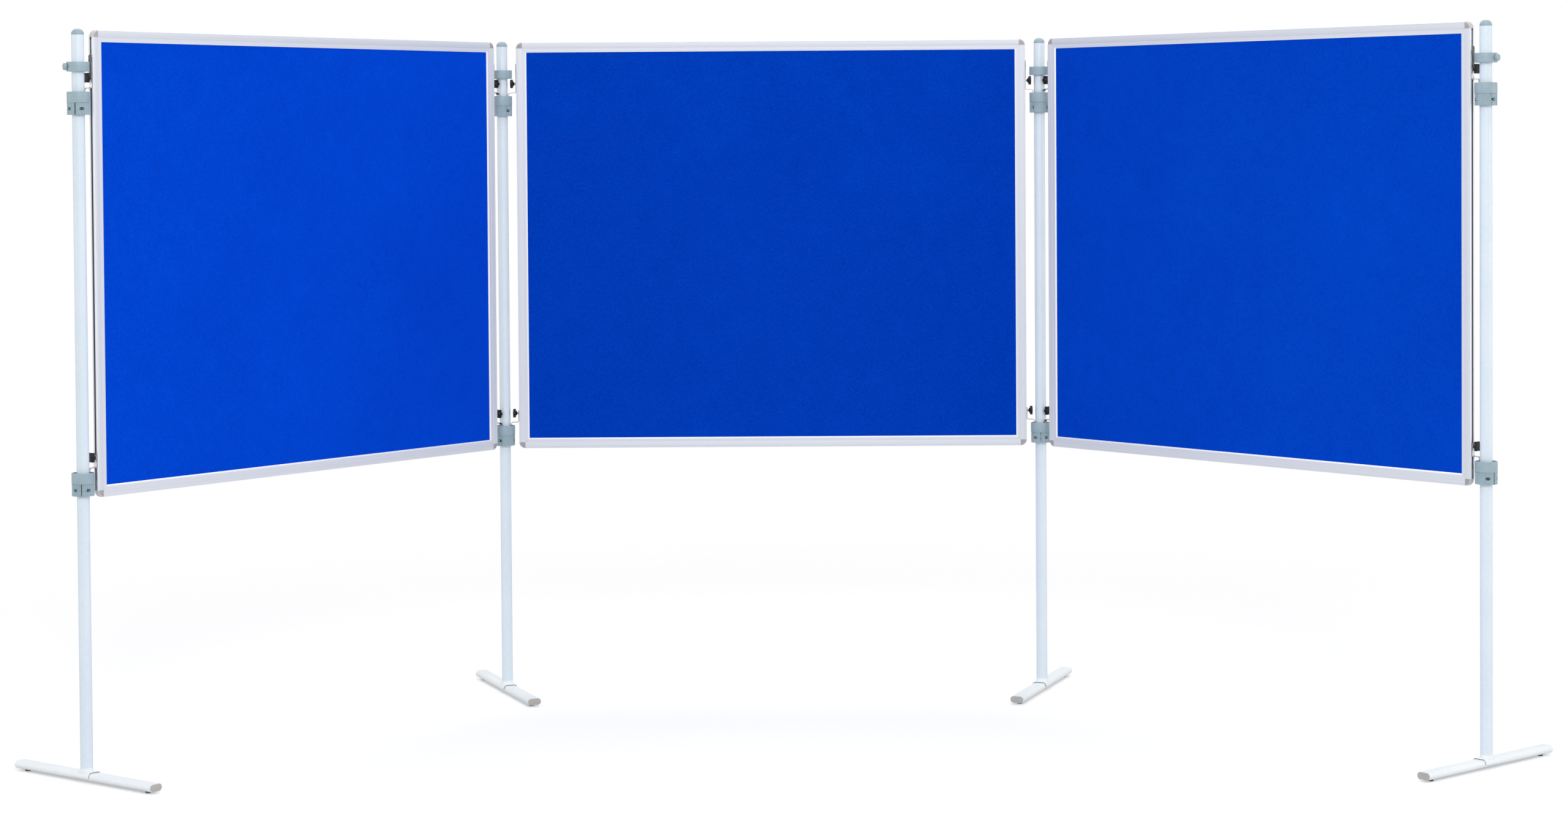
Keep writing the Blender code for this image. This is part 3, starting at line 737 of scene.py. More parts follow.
def bracket():
    """One leg of a corner bracket, along Y in the groove from the rail's end."""
    depth = BRACKET_THICKNESS
    bar = block(depth, BRACKET_LENGTH, BRACKET_WIDTH, STEP_ROUND)
    middle = (GROOVE_DEPTH - depth / 2 - WELD, BRACKET_LENGTH / 2, 0)
    bmesh.ops.translate(bar, verts=bar.verts, vec=middle)
    parts = [bar]
    for along in GRUB_PLACES:
        screw = turned(
            (
                (0, 0),
                (GRUB_RADIUS, 0),
                (GRUB_RADIUS, GRUB_HEIGHT, STEP_ROUND),
                (GRUB_SOCKET, GRUB_HEIGHT, STEP_ROUND),
                (GRUB_SOCKET, GRUB_HEIGHT / 2),
                (0, GRUB_HEIGHT / 2),
            ),
            SMALL_STEPS,
            TINY_ARC,
        )
        spot = moved(GROOVE_DEPTH - depth, along, 0) @ FACING_POST
        parts.append(put_at(screw, spot))
    return together(*parts)


def felt(side, width, height):
    """A felt sheet: its field stands a little proud of the tongue round it."""
    shape = bmesh.new()
    bmesh.ops.create_grid(shape, x_segments=1, y_segments=1, size=0.5)
    field_x, field_z = width - 2 * FIELD_INSET, height - 2 * FIELD_INSET
    bmesh.ops.scale(shape, verts=shape.verts, vec=(field_x, field_z, 1))
    bmesh.ops.subdivide_edges(shape, edges=shape.edges, cuts=FELT_CELLS, use_grid_fill=True)
    bmesh.ops.rotate(shape, verts=shape.verts, matrix=Matrix.Rotation(math.pi / 2, 3, "X"))
    for vert in shape.verts:
        room = min(field_x / 2 - abs(vert.co.x), field_z / 2 - abs(vert.co.z))
        calm = min(1.0, room / FELT_WAVE_LENGTH)
        wave = noise.noise(vert.co / FELT_WAVE_LENGTH + Vector((0, side, 0)))
        vert.co.y = side * (PANEL_DEPTH / 2 - FELT_WAVE * calm * (1 + wave))
    rims = [edge for edge in shape.edges if edge.is_boundary]
    grown = bmesh.ops.extrude_edge_only(shape, edges=rims)
    far = far_end(grown)
    tongue_x, tongue_z = width - 2 * TONGUE_INSET, height - 2 * TONGUE_INSET
    bmesh.ops.scale(shape, verts=far, vec=(tongue_x / field_x, 1, tongue_z / field_z))
    bmesh.ops.translate(shape, verts=far, vec=(0, -side * FELT_SWELL, 0))
    grown = bmesh.ops.extrude_face_region(shape, geom=shape.faces[:])
    inner = far_end(grown)
    bmesh.ops.translate(shape, verts=inner, vec=(0, -side * FELT_THICKNESS, 0))
    return sealed(shape)


def hook_strip(head):
    """A bent strip: plate at the board, arm over the rim, tip in the cup.

    It is drawn along its side towards the board, and thickens towards the post.
    """
    plate = PLATE_FACE + HOOK_THICKNESS
    arm = ARM_RISE
    tip = TUBE_RADIUS + TIP_CLEARANCE + HOOK_THICKNESS
    low = FIT_GAP - CUP_DEPTH
    if head:
        top = KNOB_ABOVE_RIM + HEAD_RISE
        shoulder = top - HEAD_TAPER
        neck = shoulder - HEAD_LENGTH
        widths = {top: HEAD_TIP_WIDTH, shoulder: HEAD_WIDTH, neck: HEAD_WIDTH}
        ends = [KNOB_ABOVE_RIM, neck - HEAD_NECK, neck, shoulder, top]
    else:
        top = KNOB_ABOVE_RIM + PLATE_RISE
        widths = {top: HEAD_TIP_WIDTH}
        ends = [top - PLATE_TAPER, top]
    widths[low] = HEAD_TIP_WIDTH
    points = [
        (tip, low),
        (tip, low + PLATE_TAPER),
        (tip, arm, TIP_BEND - HOOK_THICKNESS / 2),
        (plate, arm, PLATE_BEND + HOOK_THICKNESS / 2),
    ]
    shape = wire(points + [(plate, height) for height in ends], BEND_ARC, False)
    grown = bmesh.ops.extrude_edge_only(shape, edges=shape.edges[:])
    far = far_end(grown)
    bmesh.ops.translate(shape, verts=far, vec=(0, ARM_WIDTH, 0))
    bmesh.ops.translate(shape, verts=shape.verts, vec=(0, -ARM_WIDTH / 2, 0))
    for vert in shape.verts:
        for height, width in widths.items():
            if abs(vert.co.z - height) < WELD:
                vert.co.y *= width / ARM_WIDTH
    bmesh.ops.recalc_face_normals(shape, faces=shape.faces)
    bmesh.ops.solidify(shape, geom=shape.faces[:], thickness=HOOK_THICKNESS)
    bmesh.ops.recalc_face_normals(shape, faces=shape.faces)
    return shape


def star_head():
    """A six-lobed grip with its hub, standing on the plate's outer face along Z."""
    base = STUD_SHOW + KNOB_HUB_LENGTH
    top = base + KNOB_THICKNESS
    shape = turned(
        (
            (0, STUD_SHOW),
            (KNOB_HUB_TIP_RADIUS, STUD_SHOW, STEP_ROUND),
            (KNOB_HUB_RADIUS, base),
            (KNOB_RADIUS, base, KNOB_ROUND),
            (KNOB_RADIUS, top, KNOB_ROUND),
            (KNOB_HUB_RADIUS, top, KNOB_DISH),
            (KNOB_HUB_RADIUS - KNOB_DISH, top - KNOB_DISH),
            (0, top - KNOB_DISH),
        ),
        KNOB_LOBES * LOBE_STEPS,
    )
    for vert in shape.verts:
        reach = math.hypot(vert.co.x, vert.co.y)
        share = max(0.0, (reach - KNOB_HUB_RADIUS) / (KNOB_RADIUS - KNOB_HUB_RADIUS))
        angle = math.atan2(vert.co.y, vert.co.x)
        cut = KNOB_LOBE_DEPTH * share * (1 + math.cos(KNOB_LOBES * angle)) / 2
        if reach > 0:
            vert.co.xy *= (reach - cut) / reach
    return shape


def threaded(low, high, radius):
    """A stud along Z with its thread's ridges."""
    points = [(0, low)]
    count = int((high - low) / STUD_PITCH)
    for index in range(count):
        base = low + index * STUD_PITCH
        points.append((radius - STUD_THREAD, base))
        points.append((radius, base + STUD_PITCH / 2))
    points += [(radius - STUD_THREAD, high), (0, high)]
    return turned(points, SMALL_STEPS)


def washer():
    """A round washer, standing on its underside."""
    return turned(
        (
            (STUD_RADIUS + FIT_GAP, 0),
            (WASHER_RADIUS, 0),
            (WASHER_RADIUS, WASHER_THICKNESS, FIT_GAP),
            (STUD_RADIUS + FIT_GAP, WASHER_THICKNESS),
        ),
        MIDDLE_STEPS,
        TINY_ARC,
    )


def build_board(board, posts):
    """Frame, panel, brackets, hooks and star knobs of one board."""
    body = f"{board}_board"
    along = FEET[posts[1]] - FEET[posts[0]]
    axes = moved(*FEET[posts[0]]) @ Matrix.Rotation(math.atan2(along.y, along.x), 4, "Z")
    frame_node = (f"{board}_frame",)
    middle = axes @ moved(POST_REACH + BOARD_WIDTH / 2, 0, BOARD_BOTTOM + BOARD_HEIGHT / 2)
    sides = (
        ("bottom", 0, -1, -1, BOARD_WIDTH),
        ("near", 90, -1, 1, BOARD_HEIGHT),
        ("top", 180, 1, 1, BOARD_WIDTH),
        ("far", -90, 1, -1, BOARD_HEIGHT),
    )
    for side, degrees, right, up, length in sides:
        corner = moved(right * BOARD_WIDTH / 2, 0, up * BOARD_HEIGHT / 2)
        turn = Matrix.Rotation(math.radians(degrees), 4, "Y")
        upright = middle @ corner @ turn
        lying = upright @ LYING_RAIL
        fitted(
            f"{board}_rail_{side}", rail(length), lying, body,
            [aluminium, painted_groove_shade, painted_edge_highlight], frame_node,
        )
        plug = corner_piece()
        # The rounded rim faces take the lighter copy of the corner plastic, a painted highlight;
        # the flat faces keep the darker grey
        for face in plug.faces:
            face.material_index = int(abs(face.normal.y) < FLAT_LIMIT)
        fitted(
            f"{board}_corner_{side}", plug, upright, body, [corner_face, painted_rim_highlight],
            frame_node,
        )
        for end, place in (
            ("start", moved(0, BAND_WIDTH + SEAM, 0)),
            ("end", moved(0, length - BAND_WIDTH - SEAM - BRACKET_LENGTH, 0)),
        ):
            fitted(
                f"{board}_bracket_{side}_{end}", bracket(), lying @ place, body, bright_zinc,
            )
    core = block(
        BOARD_WIDTH - 2 * TONGUE_INSET,
        PANEL_DEPTH - 2 * (FELT_THICKNESS + FELT_SWELL + FIT_GAP),
        BOARD_HEIGHT - 2 * TONGUE_INSET,
        STEP_ROUND,
    )
    panel_node = (f"{board}_panel",)
    fitted(f"{board}_core", core, middle, body, softboard, panel_node)
    for side, facing in (("front", -1), ("back", 1)):
        cloth = fitted(
            f"{board}_felt_{side}", felt(facing, BOARD_WIDTH, BOARD_HEIGHT), middle, body,
            felt_with_painted_light[board], panel_node,
        )
    for post, place in ((posts[0], axes), (posts[1], axes @ moved(SPAN) @ spun(180))):
        for level in LEVELS:
            build_hook(board, post, level, place @ moved(z=RIM_HEIGHTS[level]))


def build_hook(board, post, level, place):
    """One hook with its nut, washer, stud and star knob; X runs from post to board.

    The flat of the strip takes zinc darkened with painted shade and a painted dark reflection from
    the knob upwards, and plain bright zinc below it.
    """
    body = f"{board}_board"
    title = f"post{post}_{level}"
    bent = hook_strip(level == "top")
    # Flat faces above the knob take the zinc darkened with painted shade and dark reflection
    for face in bent.faces:
        above = face.calc_center_median().z > KNOB_ABOVE_RIM + WELD
        face.material_index = int(above and abs(face.normal.x) > FLAT_LIMIT)
    strip = fitted(
        f"{board}_strip_{title}", bent, place, body, [bright_zinc, painted_shade_zinc],
        (f"{board}_hook_{title}",),
    )
    edge = strip.modifiers.new("edge", "BEVEL")
    edge.width = HOOK_EDGE
    edge.segments = TINY_ARC
    edge.limit_method = "ANGLE"
    at_knob = place @ moved(PLATE_FACE, 0, KNOB_ABOVE_RIM) @ FACING_POST
    knob_node = (f"{board}_knob_{title}",)
    fitted(f"{board}_washer_{title}", washer(), at_knob, body, bright_zinc)
    nut = block(NUT_THICKNESS, NUT_WIDTH, NUT_LENGTH, STEP_ROUND)
    in_groove = POST_REACH + GROOVE_LIP + FIT_GAP + NUT_THICKNESS / 2
    nut_place = place @ moved(in_groove, 0, KNOB_ABOVE_RIM)
    fitted(f"{board}_nut_{title}", nut, nut_place, body, bright_zinc)
    if level == "top":
        low, high = KNOB_ABOVE_RIM + KNOB_RADIUS, KNOB_ABOVE_RIM + KEY_RISE
        key = block(KEY_THICKNESS, GROOVE_WIDTH - 2 * FIT_GAP, high - low, STEP_ROUND)
        key_place = place @ moved(POST_REACH + KEY_THICKNESS / 2, 0, (low + high) / 2)
        # The key takes the zinc darkened with painted shade
        fitted(f"{board}_key_{title}", key, key_place, body, painted_shade_zinc)
    fitted(
        f"{board}_star_{title}", star_head(), at_knob, knob_node[0], black_plastic,
        knob_node,
    )
    end = HOOK_THICKNESS + FIT_GAP + STUD_ENGAGEMENT
    fitted(
        f"{board}_stud_{title}", threaded(-end, STUD_SHOW - WELD, STUD_RADIUS), at_knob,
        knob_node[0], bright_zinc, knob_node,
    )


# Posts


def oval(radius, half_length):
    """A flat oval bar along X, round its middle."""
    shape = bmesh.new()
    bmesh.ops.create_circle(shape, cap_ends=True, segments=MIDDLE_STEPS, radius=radius)
    half_step = Matrix.Rotation(math.pi / MIDDLE_STEPS, 3, "Z")
    bmesh.ops.rotate(shape, verts=shape.verts, matrix=half_step)
    for vert in shape.verts:
        vert.co.x += math.copysign(FOOT_FLAT, vert.co.x)
    grown = bmesh.ops.extrude_face_region(shape, geom=shape.faces[:])
    far = far_end(grown)
    bmesh.ops.translate(shape, verts=far, vec=(0, 0, 2 * half_length))
    bmesh.ops.translate(shape, verts=shape.verts, vec=(0, 0, -half_length))
    sealed(shape)
    return put_at(shape, LYING_OVAL)


def foot_tube():
    """The foot's flat oval tube, open at both ends."""
    half = FOOT_LENGTH / 2 - END_CAP_THICKNESS
    return carved(oval(FOOT_RADIUS, half), oval(FOOT_RADIUS - FOOT_WALL, half + OVERRUN))


def foot_end():
    """An end cap: a rounded plate with a pale rim, and its plug inside the tube."""
    plate = oval(FOOT_RADIUS, END_CAP_THICKNESS / 2)
    half = END_CAP_THICKNESS / 2
    for end, offset, steps in ((half, END_CAP_ROUND, RIM_ARC), (-half, FIT_GAP, TINY_ARC)):
        rim = [
            edge
            for edge in plate.edges
            if all(abs(vert.co.x - end) < WELD for vert in edge.verts)
        ]
        softened(plate, rim, offset, steps)
    plug = oval(FOOT_RADIUS - FOOT_WALL - FIT_GAP, END_CAP_THICKNESS)
    put_at(plug, moved(-END_CAP_THICKNESS * 3 / 2 + WELD))
    whole = together(plate, plug)
    whole.normal_update()
    for face in whole.faces:
        face.material_index = int(face.normal.x < FLAT_LIMIT)
    return whole


def upright():
    """Tube, flare and saddle, welded as one: the tube in the pale coat, the flare and saddle in
    the foot's whiter coat, and painted shade in the seam at the saddle.
    """
    inner = TUBE_RADIUS - TUBE_WALL
    low = FOOT_MIDDLE + OVERRUN
    tube = turned(
        (
            (0, low),
            (TUBE_RADIUS + FLARE_RADIUS, low),
            (TUBE_RADIUS + FLARE_RADIUS, SADDLE_TOP, STEP_ROUND),
            (TUBE_RADIUS, SADDLE_TOP, FLARE_RADIUS - STEP_ROUND),
            (TUBE_RADIUS, TUBE_TOP, FIT_GAP),
            (inner, TUBE_TOP, FIT_GAP),
            (inner, SADDLE_TOP),
            (0, SADDLE_TOP),
        ),
        ROUND_STEPS,
        FLARE_ARC,
    )
    squeeze = (FLARE_RADIUS - FLARE_SIDE) / FLARE_RADIUS
    for vert in tube.verts:
        reach = math.hypot(vert.co.x, vert.co.y)
        if reach > TUBE_RADIUS + WELD:
            sideways = abs(vert.co.y) / reach
            spread = (reach - TUBE_RADIUS) * (1 - squeeze * sideways * sideways)
            vert.co.xy *= (TUBE_RADIUS + spread) / reach
    outer = FOOT_FLAT + SADDLE_RADIUS
    inside = outer - SADDLE_WALL
    skirt = FOOT_MIDDLE - SADDLE_SKIRT
    ceiling = SADDLE_TOP - SADDLE_WALL
    saddle = wire(
        (
            (-outer, skirt),
            (-outer, SADDLE_TOP, SADDLE_RADIUS),
            (outer, SADDLE_TOP, SADDLE_RADIUS),
            (outer, skirt),
            (inside, skirt),
            (inside, ceiling, SADDLE_RADIUS - SADDLE_WALL),
            (-inside, ceiling, SADDLE_RADIUS - SADDLE_WALL),
            (-inside, skirt),
        ),
        WIDE_ARC,
    )
    drawn_out(saddle, SADDLE_LENGTH)
    bmesh.ops.translate(saddle, verts=saddle.verts, vec=(0, -SADDLE_LENGTH / 2, 0))
    put_at(saddle, spun(90))
    whole = carved(tube, saddle, "UNION")
    room = oval(FOOT_RADIUS + FIT_GAP, SADDLE_LENGTH)
    whole = carved(whole, put_at(room, moved(z=FOOT_MIDDLE)))
    for side in (-1, 1):
        recess = oval(FOOT_RADIUS + SEAM_WIDTH, SEAM_DEPTH)
        place = moved(side * SADDLE_LENGTH / 2, 0, FOOT_MIDDLE)
        whole = carved(whole, put_at(recess, place))
    # From the flare down the upright takes the foot's whiter coat; the saddle's inner and end
    # faces in the seam take painted shade
    for face in whole.faces:
        middle, facing = face.calc_center_median(), face.normal
        inward = middle.y * facing.y + (middle.z - FOOT_MIDDLE) * facing.z < 0
        ended = abs(facing.x) > FLAT_LIMIT and abs(middle.x) < SADDLE_LENGTH / 2 - WELD
        if middle.z < SADDLE_TOP + FLARE_RADIUS:
            face.material_index = 2 if middle.z < SADDLE_TOP and (inward or ended) else 1
    return whole


def dome():
    """The plastic cap: a dome over the tube's end, and a plug inside it."""
    base = TUBE_TOP + FIT_GAP
    height = CAP_TOP - base
    plug = TUBE_RADIUS - TUBE_WALL - FIT_GAP
    return turned(
        (
            (0, TUBE_TOP - CAP_SPIGOT),
            (plug, TUBE_TOP - CAP_SPIGOT, STEP_ROUND),
            (plug, base),
            (TUBE_RADIUS - CAP_SEAM, base),
            (TUBE_RADIUS - CAP_SEAM, base + CAP_SEAM),
            (TUBE_RADIUS, base + CAP_SEAM, STEP_ROUND),
            (TUBE_RADIUS, CAP_TOP, min(height - 2 * CAP_SEAM, TUBE_RADIUS - WELD)),
            (0, CAP_TOP),
        ),
        ROUND_STEPS,
        DOME_ARC,
    )


def glide():
    """A foot's round glide, standing on the floor."""
    return turned(
        (
            (0, 0),
            (GLIDE_RADIUS, 0, STEP_ROUND),
            (GLIDE_RADIUS, GLIDE_HEIGHT),
            (0, GLIDE_HEIGHT),
        ),
        MIDDLE_STEPS,
        TINY_ARC,
    )


def collar():
    """A collar, zero at its rim: the cup above, the ribbed and split clamp below."""
    cup = COLLAR_RADIUS - CUP_WALL
    clamp = COLLAR_RADIUS - CLAMP_STEP
    groove = CUP_GROOVE
    shape = turned(
        (
            (cup, 0, STEP_ROUND),
            (COLLAR_RADIUS, 0, COLLAR_RIM_ROUND),
            (COLLAR_RADIUS, -CUP_BAND, STEP_ROUND),
            (clamp - groove, -CUP_BAND),
            (clamp - groove, -CUP_BAND - groove),
            (clamp, -CUP_BAND - groove),
            (clamp, -CUP_BAND - 2 * groove),
            (clamp, -COLLAR_HEIGHT + 2 * groove),
            (clamp, -COLLAR_HEIGHT, COLLAR_FOOT_ROUND),
            (BORE, -COLLAR_HEIGHT),
            (BORE, -CUP_DEPTH),
            (cup, -CUP_DEPTH),
        ),
        RIB_COUNT * RIB_STEPS,
        RIM_ARC,
    )
    pitch = math.tau / RIB_COUNT
    low, high = -COLLAR_HEIGHT + groove, -CUP_BAND - groove + WELD
    for vert in shape.verts:
        reach = math.hypot(vert.co.x, vert.co.y)
        if reach < clamp - groove / 2 or not low < vert.co.z < high:
            continue
        angle = math.atan2(vert.co.y, vert.co.x) % pitch
        if min(angle, pitch - angle) * clamp < RIB_GROOVE / 2 + WELD:
            vert.co.xy *= (clamp - RIB_DEPTH) / reach
    slot_height = COLLAR_HEIGHT - CUP_BAND
    slot_middle = -CUP_BAND - slot_height / 2 - groove / 2
    tools = []
    for side in (-1, 1):
        width = COLLAR_RADIUS + OVERRUN - BORE / 2
        slot = block(width, CLAMP_SLOT, slot_height + OVERRUN)
        spot = moved(side * (BORE / 2 + width / 2), 0, slot_middle - OVERRUN / 2)
        tools.append(put_at(slot, spot))
        for facing in (-1, 1):
            pocket = turned(
                (
                    (0, POCKET_FLOOR),
                    (POCKET_RADIUS, POCKET_FLOOR),
                    (POCKET_RADIUS, COLLAR_RADIUS),
                    (0, COLLAR_RADIUS),
                ),
                SMALL_STEPS,
            )
            spot = moved(side * POCKET_OFFSET, 0, SCREW_DROP) @ spun(90 - 90 * facing) @ ALONG_Y
            tools.append(put_at(pocket, spot))
    whole = carved(shape, together(*tools))
    # The screw pockets and the walls of the slot take the second finish, the blue-grey plastic
    # darkened with painted shade
    for face in whole.faces:
        middle, facing = face.calc_center_median(), face.normal
        side = math.copysign(POCKET_OFFSET, middle.x)
        inward = (middle.x - side) * facing.x + (middle.z - SCREW_DROP) * facing.z
        away = math.hypot(middle.x - side, middle.z - SCREW_DROP)
        wall = abs(facing.y) < 1 - FLAT_LIMIT and inward < 0
        floor = abs(facing.y) > FLAT_LIMIT and abs(middle.y) > POCKET_FLOOR - WELD
        in_pocket = (wall or floor) and away < POCKET_RADIUS + WELD
        in_slot = abs(facing.y) > FLAT_LIMIT and abs(middle.y) < CLAMP_SLOT / 2 + WELD
        face.material_index = int(in_pocket or in_slot)
    return whole


def screw():
    """A clamp screw along Z: its head with a round socket, and its shank."""
    head = SCREW_HEAD_HEIGHT
    return turned(
        (
            (0, head / 2),
            (SCREW_SOCKET, head / 2),
            (SCREW_SOCKET, head),
            (SCREW_HEAD_RADIUS, head, STEP_ROUND),
            (SCREW_HEAD_RADIUS, 0),
            (SCREW_RADIUS, 0),
            (SCREW_RADIUS, -SCREW_LENGTH, STEP_ROUND),
            (0, -SCREW_LENGTH),
        ),
        SMALL_STEPS,
        TINY_ARC,
    )


def ring():
    """The lock ring, zero at its underside, with a line round its middle."""
    middle = RING_HEIGHT / 2
    line = RING_LINE / 2
    return turned(
        (
            (BORE, 0, STEP_ROUND),
            (COLLAR_RADIUS, 0, RING_ROUND),
            (COLLAR_RADIUS, middle - line),
            (COLLAR_RADIUS - RING_LINE, middle - line),
            (COLLAR_RADIUS - RING_LINE, middle + line),
            (COLLAR_RADIUS, middle + line),
            (COLLAR_RADIUS, RING_HEIGHT, RING_ROUND),
            (BORE, RING_HEIGHT, STEP_ROUND),
        ),
        ROUND_STEPS,
        RIM_ARC,
    )


def ring_button():
    """The ring's knob along Z from the post's axis: a fluted disc on a short neck."""
    start = COLLAR_RADIUS + FIT_GAP
    end = start + RING_KNOB_LENGTH
    neck = start + RING_KNOB_NECK
    shape = turned(
        (
            (0, start),
            (RING_KNOB_RADIUS / 2, start),
            (RING_KNOB_RADIUS / 2, neck),
            (RING_KNOB_RADIUS, neck, STEP_ROUND),
            (RING_KNOB_RADIUS, end - RING_KNOB_CROWN, STEP_ROUND * 2),
            (RING_KNOB_RADIUS * RING_KNOB_TOP_SHARE, end, RING_KNOB_CROWN),
            (0, end),
        ),
        FLUTE_COUNT * FLUTE_STEPS,
        RIM_ARC,
    )
    for vert in shape.verts:
        reach = math.hypot(vert.co.x, vert.co.y)
        if reach > RING_KNOB_RADIUS * FLUTE_START_SHARE:
            angle = math.atan2(vert.co.y, vert.co.x)
            cut = FLUTE_DEPTH * (1 + math.cos(FLUTE_COUNT * angle)) / 2
            vert.co.xy *= (reach - cut) / reach
    return shape


def build_post(post):
    """Upright, cap, foot, collars with their screws, lock ring and its knob."""
    name = f"post_{post}"
    axis = moved(*FEET[post])
    turn = axis @ spun(FOOT_DEGREES[post])
    tube_node, cap_node, foot_node = (f"{name}_{kind}" for kind in ("tube", "cap", "foot"))
    fitted(
        f"{name}_upright", UPRIGHT.copy(), turn, name, [pale_powder, white_powder, painted_seam_shade],
        (tube_node,),
    )
    fitted(f"{name}_dome", dome(), turn, name, collar_plastic, (cap_node,))
    level = turn @ moved(z=FOOT_MIDDLE)
    fitted(
        f"{name}_foot_tube", foot_tube(), level, name, white_powder,
        (foot_node,),
    )
    for side, degrees in (("front", 0), ("back", 180)):
        facing = turn @ spun(degrees)
        fitted(
            f"{name}_foot_end_{side}", foot_end(),
            facing @ moved(FOOT_LENGTH / 2 - END_CAP_THICKNESS / 2, 0, FOOT_MIDDLE), name,
            [end_plastic, white_powder], (foot_node,),
        )
        fitted(
            f"{name}_glide_{side}", glide(), facing @ moved(FOOT_LENGTH / 2 - GLIDE_INSET), name,
            glide_plastic, (foot_node,),
        )
    bolt = turned(
        (
            (0, -BOLT_HEAD_HEIGHT),
            (BOLT_HEAD_RADIUS, -BOLT_HEAD_HEIGHT, STEP_ROUND),
            (BOLT_HEAD_RADIUS, 0),
            (BOLT_RADIUS, 0),
            (BOLT_RADIUS, FOOT_WALL + BOLT_RISE, STEP_ROUND),
            (0, FOOT_WALL + BOLT_RISE),
        ),
        SMALL_STEPS,
        TINY_ARC,
    )
    under = turn @ moved(z=FOOT_TOP - FOOT_WALL - WELD)
    fitted(f"{name}_bolt", bolt, under, name, bright_zinc, (foot_node,))
    for level in LEVELS:
        place = axis @ moved(z=RIM_HEIGHTS[level]) @ spun(COLLAR_DEGREES[level][post])
        body = f"collars_{post}"
        fitted(
            f"{name}_{level}_cup", COLLAR.copy(), place, body, [collar_plastic, painted_pocket_shade],
            (f"{name}_{level}_collar",),
        )
        for side, offset in (("near", -1), ("far", 1)):
            spot = place @ moved(offset * POCKET_OFFSET, 0, SCREW_DROP)
            across = spot @ spun(90 - 90 * offset) @ ALONG_Y
            fitted(
                f"{name}_{level}_screw_{side}", screw(), across @ moved(z=POCKET_FLOOR), body,
                bright_zinc,
            )
            fitted(
                f"{name}_{level}_nut_{side}",
                hexagon(SCREW_HEAD_RADIUS, SCREW_HEAD_HEIGHT / 2, STEP_ROUND),
                across @ moved(z=-POCKET_FLOOR - SCREW_HEAD_HEIGHT / 2), body, bright_zinc,
            )
    fitted(
        f"{name}_ring", ring(), axis @ moved(z=RING_BOTTOM), f"lock_ring_{post}", collar_plastic,
        (f"{name}_lock_ring",),
    )
    joint = JOINTS[f"ring_knob_turn_{post}"]
    outwards = Vector(joint["axis"]).to_track_quat("Z", "Y").to_matrix().to_4x4()
    at_ring = axis @ moved(z=RING_BOTTOM + RING_HEIGHT / 2) @ outwards
    knob_node = (f"{name}_ring_knob",)
    body = f"ring_knob_{post}"
    fitted(
        f"{name}_button", ring_button(), at_ring, body, collar_plastic,
        knob_node,
    )
    fitted(
        f"{name}_button_stud",
        threaded(TUBE_RADIUS + STUD_TIP_GAP, COLLAR_RADIUS + FIT_GAP, STUD_RADIUS), at_ring, body,
        bright_zinc, knob_node,
    )


COLLAR = collar()
UPRIGHT = upright()
for board, posts in BOARDS.items():
    build_board(board, posts)
for post in POSTS:
    build_post(post)


# Floor, light and camera


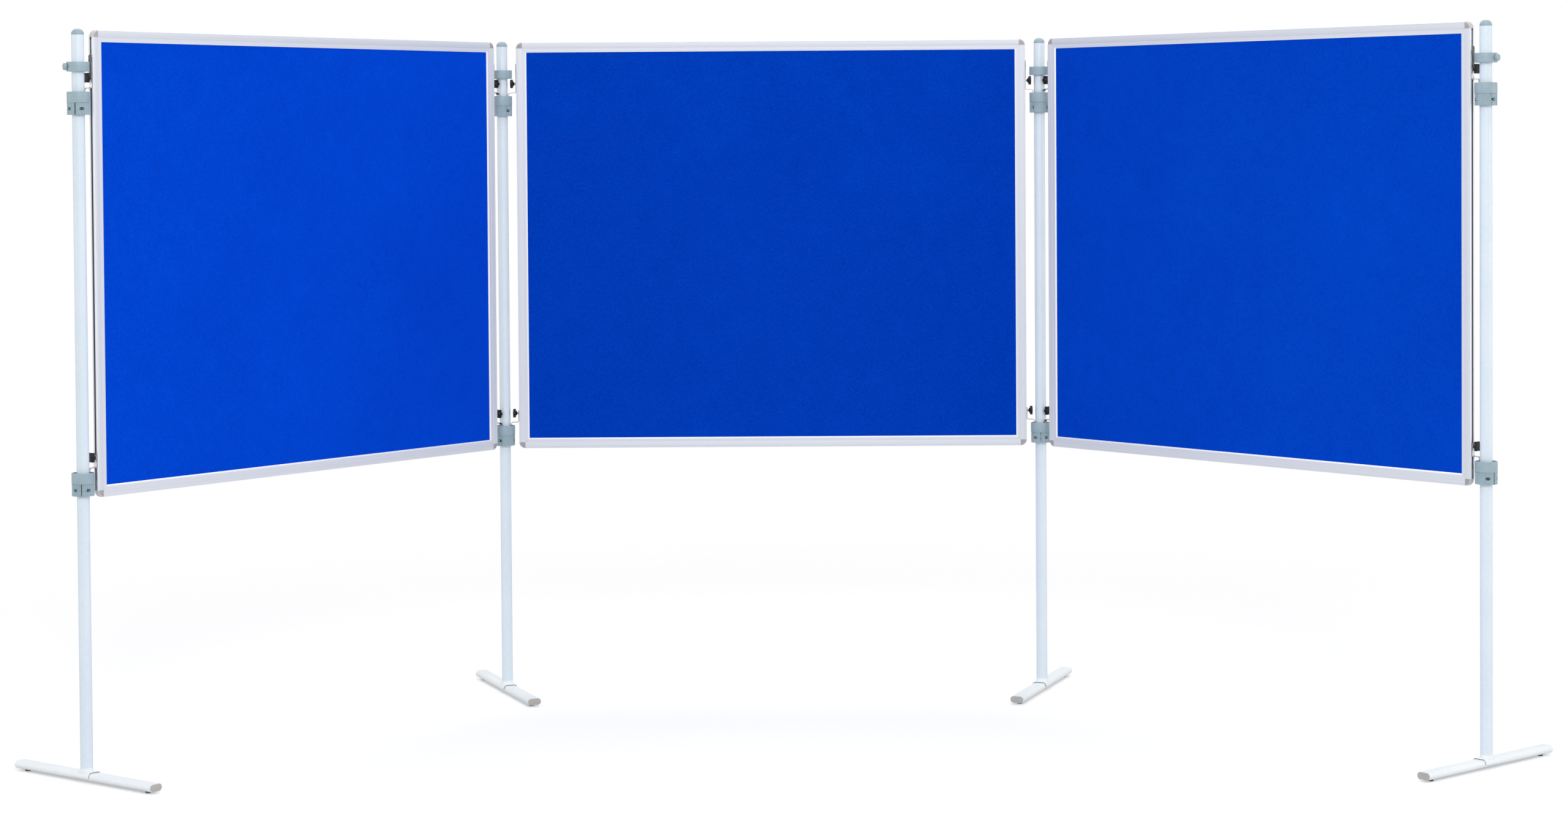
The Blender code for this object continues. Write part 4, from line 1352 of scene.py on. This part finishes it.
def stage_floor():
    """A pale floor that shows white, keeps the shadows and fades out behind the set."""
    shape = bmesh.new()
    bmesh.ops.create_grid(shape, x_segments=1, y_segments=1, size=FLOOR_SIZE / 2)
    mesh = meshed(shape, "floor")
    floor = added("floor", mesh)
    material = bpy.data.materials.new("pale floor")
    material.use_nodes = True
    nodes, link = material.node_tree.nodes, material.node_tree.links.new
    nodes.clear()
    path = nodes.new("ShaderNodeLightPath")
    matt = nodes.new("ShaderNodeBsdfDiffuse")
    matt.inputs["Color"].default_value = (*(FLOOR_LEVEL,) * 3, 1)
    lift = nodes.new("ShaderNodeEmission")
    lift.inputs["Color"].default_value = (1, 1, 1, 1)
    strength = maths(material, "MULTIPLY", path.outputs["Is Camera Ray"], FLOOR_LIFT)
    link(strength, lift.inputs["Strength"])
    near = nodes.new("ShaderNodeAddShader")
    link(matt.outputs[0], near.inputs[0])
    link(lift.outputs[0], near.inputs[1])
    where = nodes.new("ShaderNodeTexCoord").outputs["Object"]
    reach = put(material, "ShaderNodeVectorMath", {0: where}, operation="LENGTH")
    fade = put(
        material,
        "ShaderNodeMapRange",
        {"Value": reach.outputs["Value"], "From Min": FADE_START, "From Max": FADE_END},
        interpolation_type="SMOOTHSTEP",
    )
    mix = nodes.new("ShaderNodeMixShader")
    link(fade.outputs[0], mix.inputs[0])
    link(near.outputs[0], mix.inputs[1])
    link(nodes.new("ShaderNodeBsdfTransparent").outputs[0], mix.inputs[2])
    link(mix.outputs[0], nodes.new("ShaderNodeOutputMaterial").inputs["Surface"])
    mesh.materials.append(material)


def studio_world():
    """White where it is seen or mirrored, a softer level as light."""
    world = bpy.data.worlds.new("studio")
    bpy.context.scene.world = world
    world.use_nodes = True
    nodes, link = world.node_tree.nodes, world.node_tree.links.new
    nodes.clear()
    path = nodes.new("ShaderNodeLightPath")
    seen = maths(world, "MAXIMUM", path.outputs["Is Camera Ray"], path.outputs["Is Glossy Ray"])
    seen = maths(world, "MAXIMUM", seen, path.outputs["Is Transmission Ray"])
    levels = {"Value": seen, "To Min": WORLD_LEVEL, "To Max": 1.0}
    strength = put(world, "ShaderNodeMapRange", levels)
    sky = nodes.new("ShaderNodeBackground")
    sky.inputs["Color"].default_value = (1, 1, 1, 1)
    link(strength.outputs[0], sky.inputs["Strength"])
    link(sky.outputs[0], nodes.new("ShaderNodeOutputWorld").inputs["Surface"])


def softbox(name, place, target, size, power):
    light = bpy.data.lights.new(name, "AREA")
    light.shape = "RECTANGLE"
    light.size, light.size_y = size
    light.energy = power
    lamp = added(name, light)
    aim = Vector(target) - Vector(place)
    lamp.matrix_world = moved(*place) @ aim.to_track_quat("-Z", "Y").to_matrix().to_4x4()


def studio_camera():
    lens = bpy.data.cameras.new("camera")
    lens.sensor_width = SENSOR_WIDTH
    lens.lens = FOCAL_PIXELS / IMAGE_WIDTH * SENSOR_WIDTH
    lens.shift_y = CAMERA_SHIFT
    camera = added("camera", lens)
    bpy.context.scene.camera = camera
    camera.matrix_world = (
        moved(*CAMERA_PLACE)
        @ Matrix.Rotation(CAMERA_YAW, 4, "Z")
        @ Matrix.Rotation(math.pi / 2 - CAMERA_PITCH, 4, "X")
        @ Matrix.Rotation(-CAMERA_ROLL, 4, "Z")
    )


stage_floor()
studio_world()
for lamp in SOFTBOXES:
    softbox(*lamp)
studio_camera()
bpy.context.scene.view_settings.view_transform = "Standard"
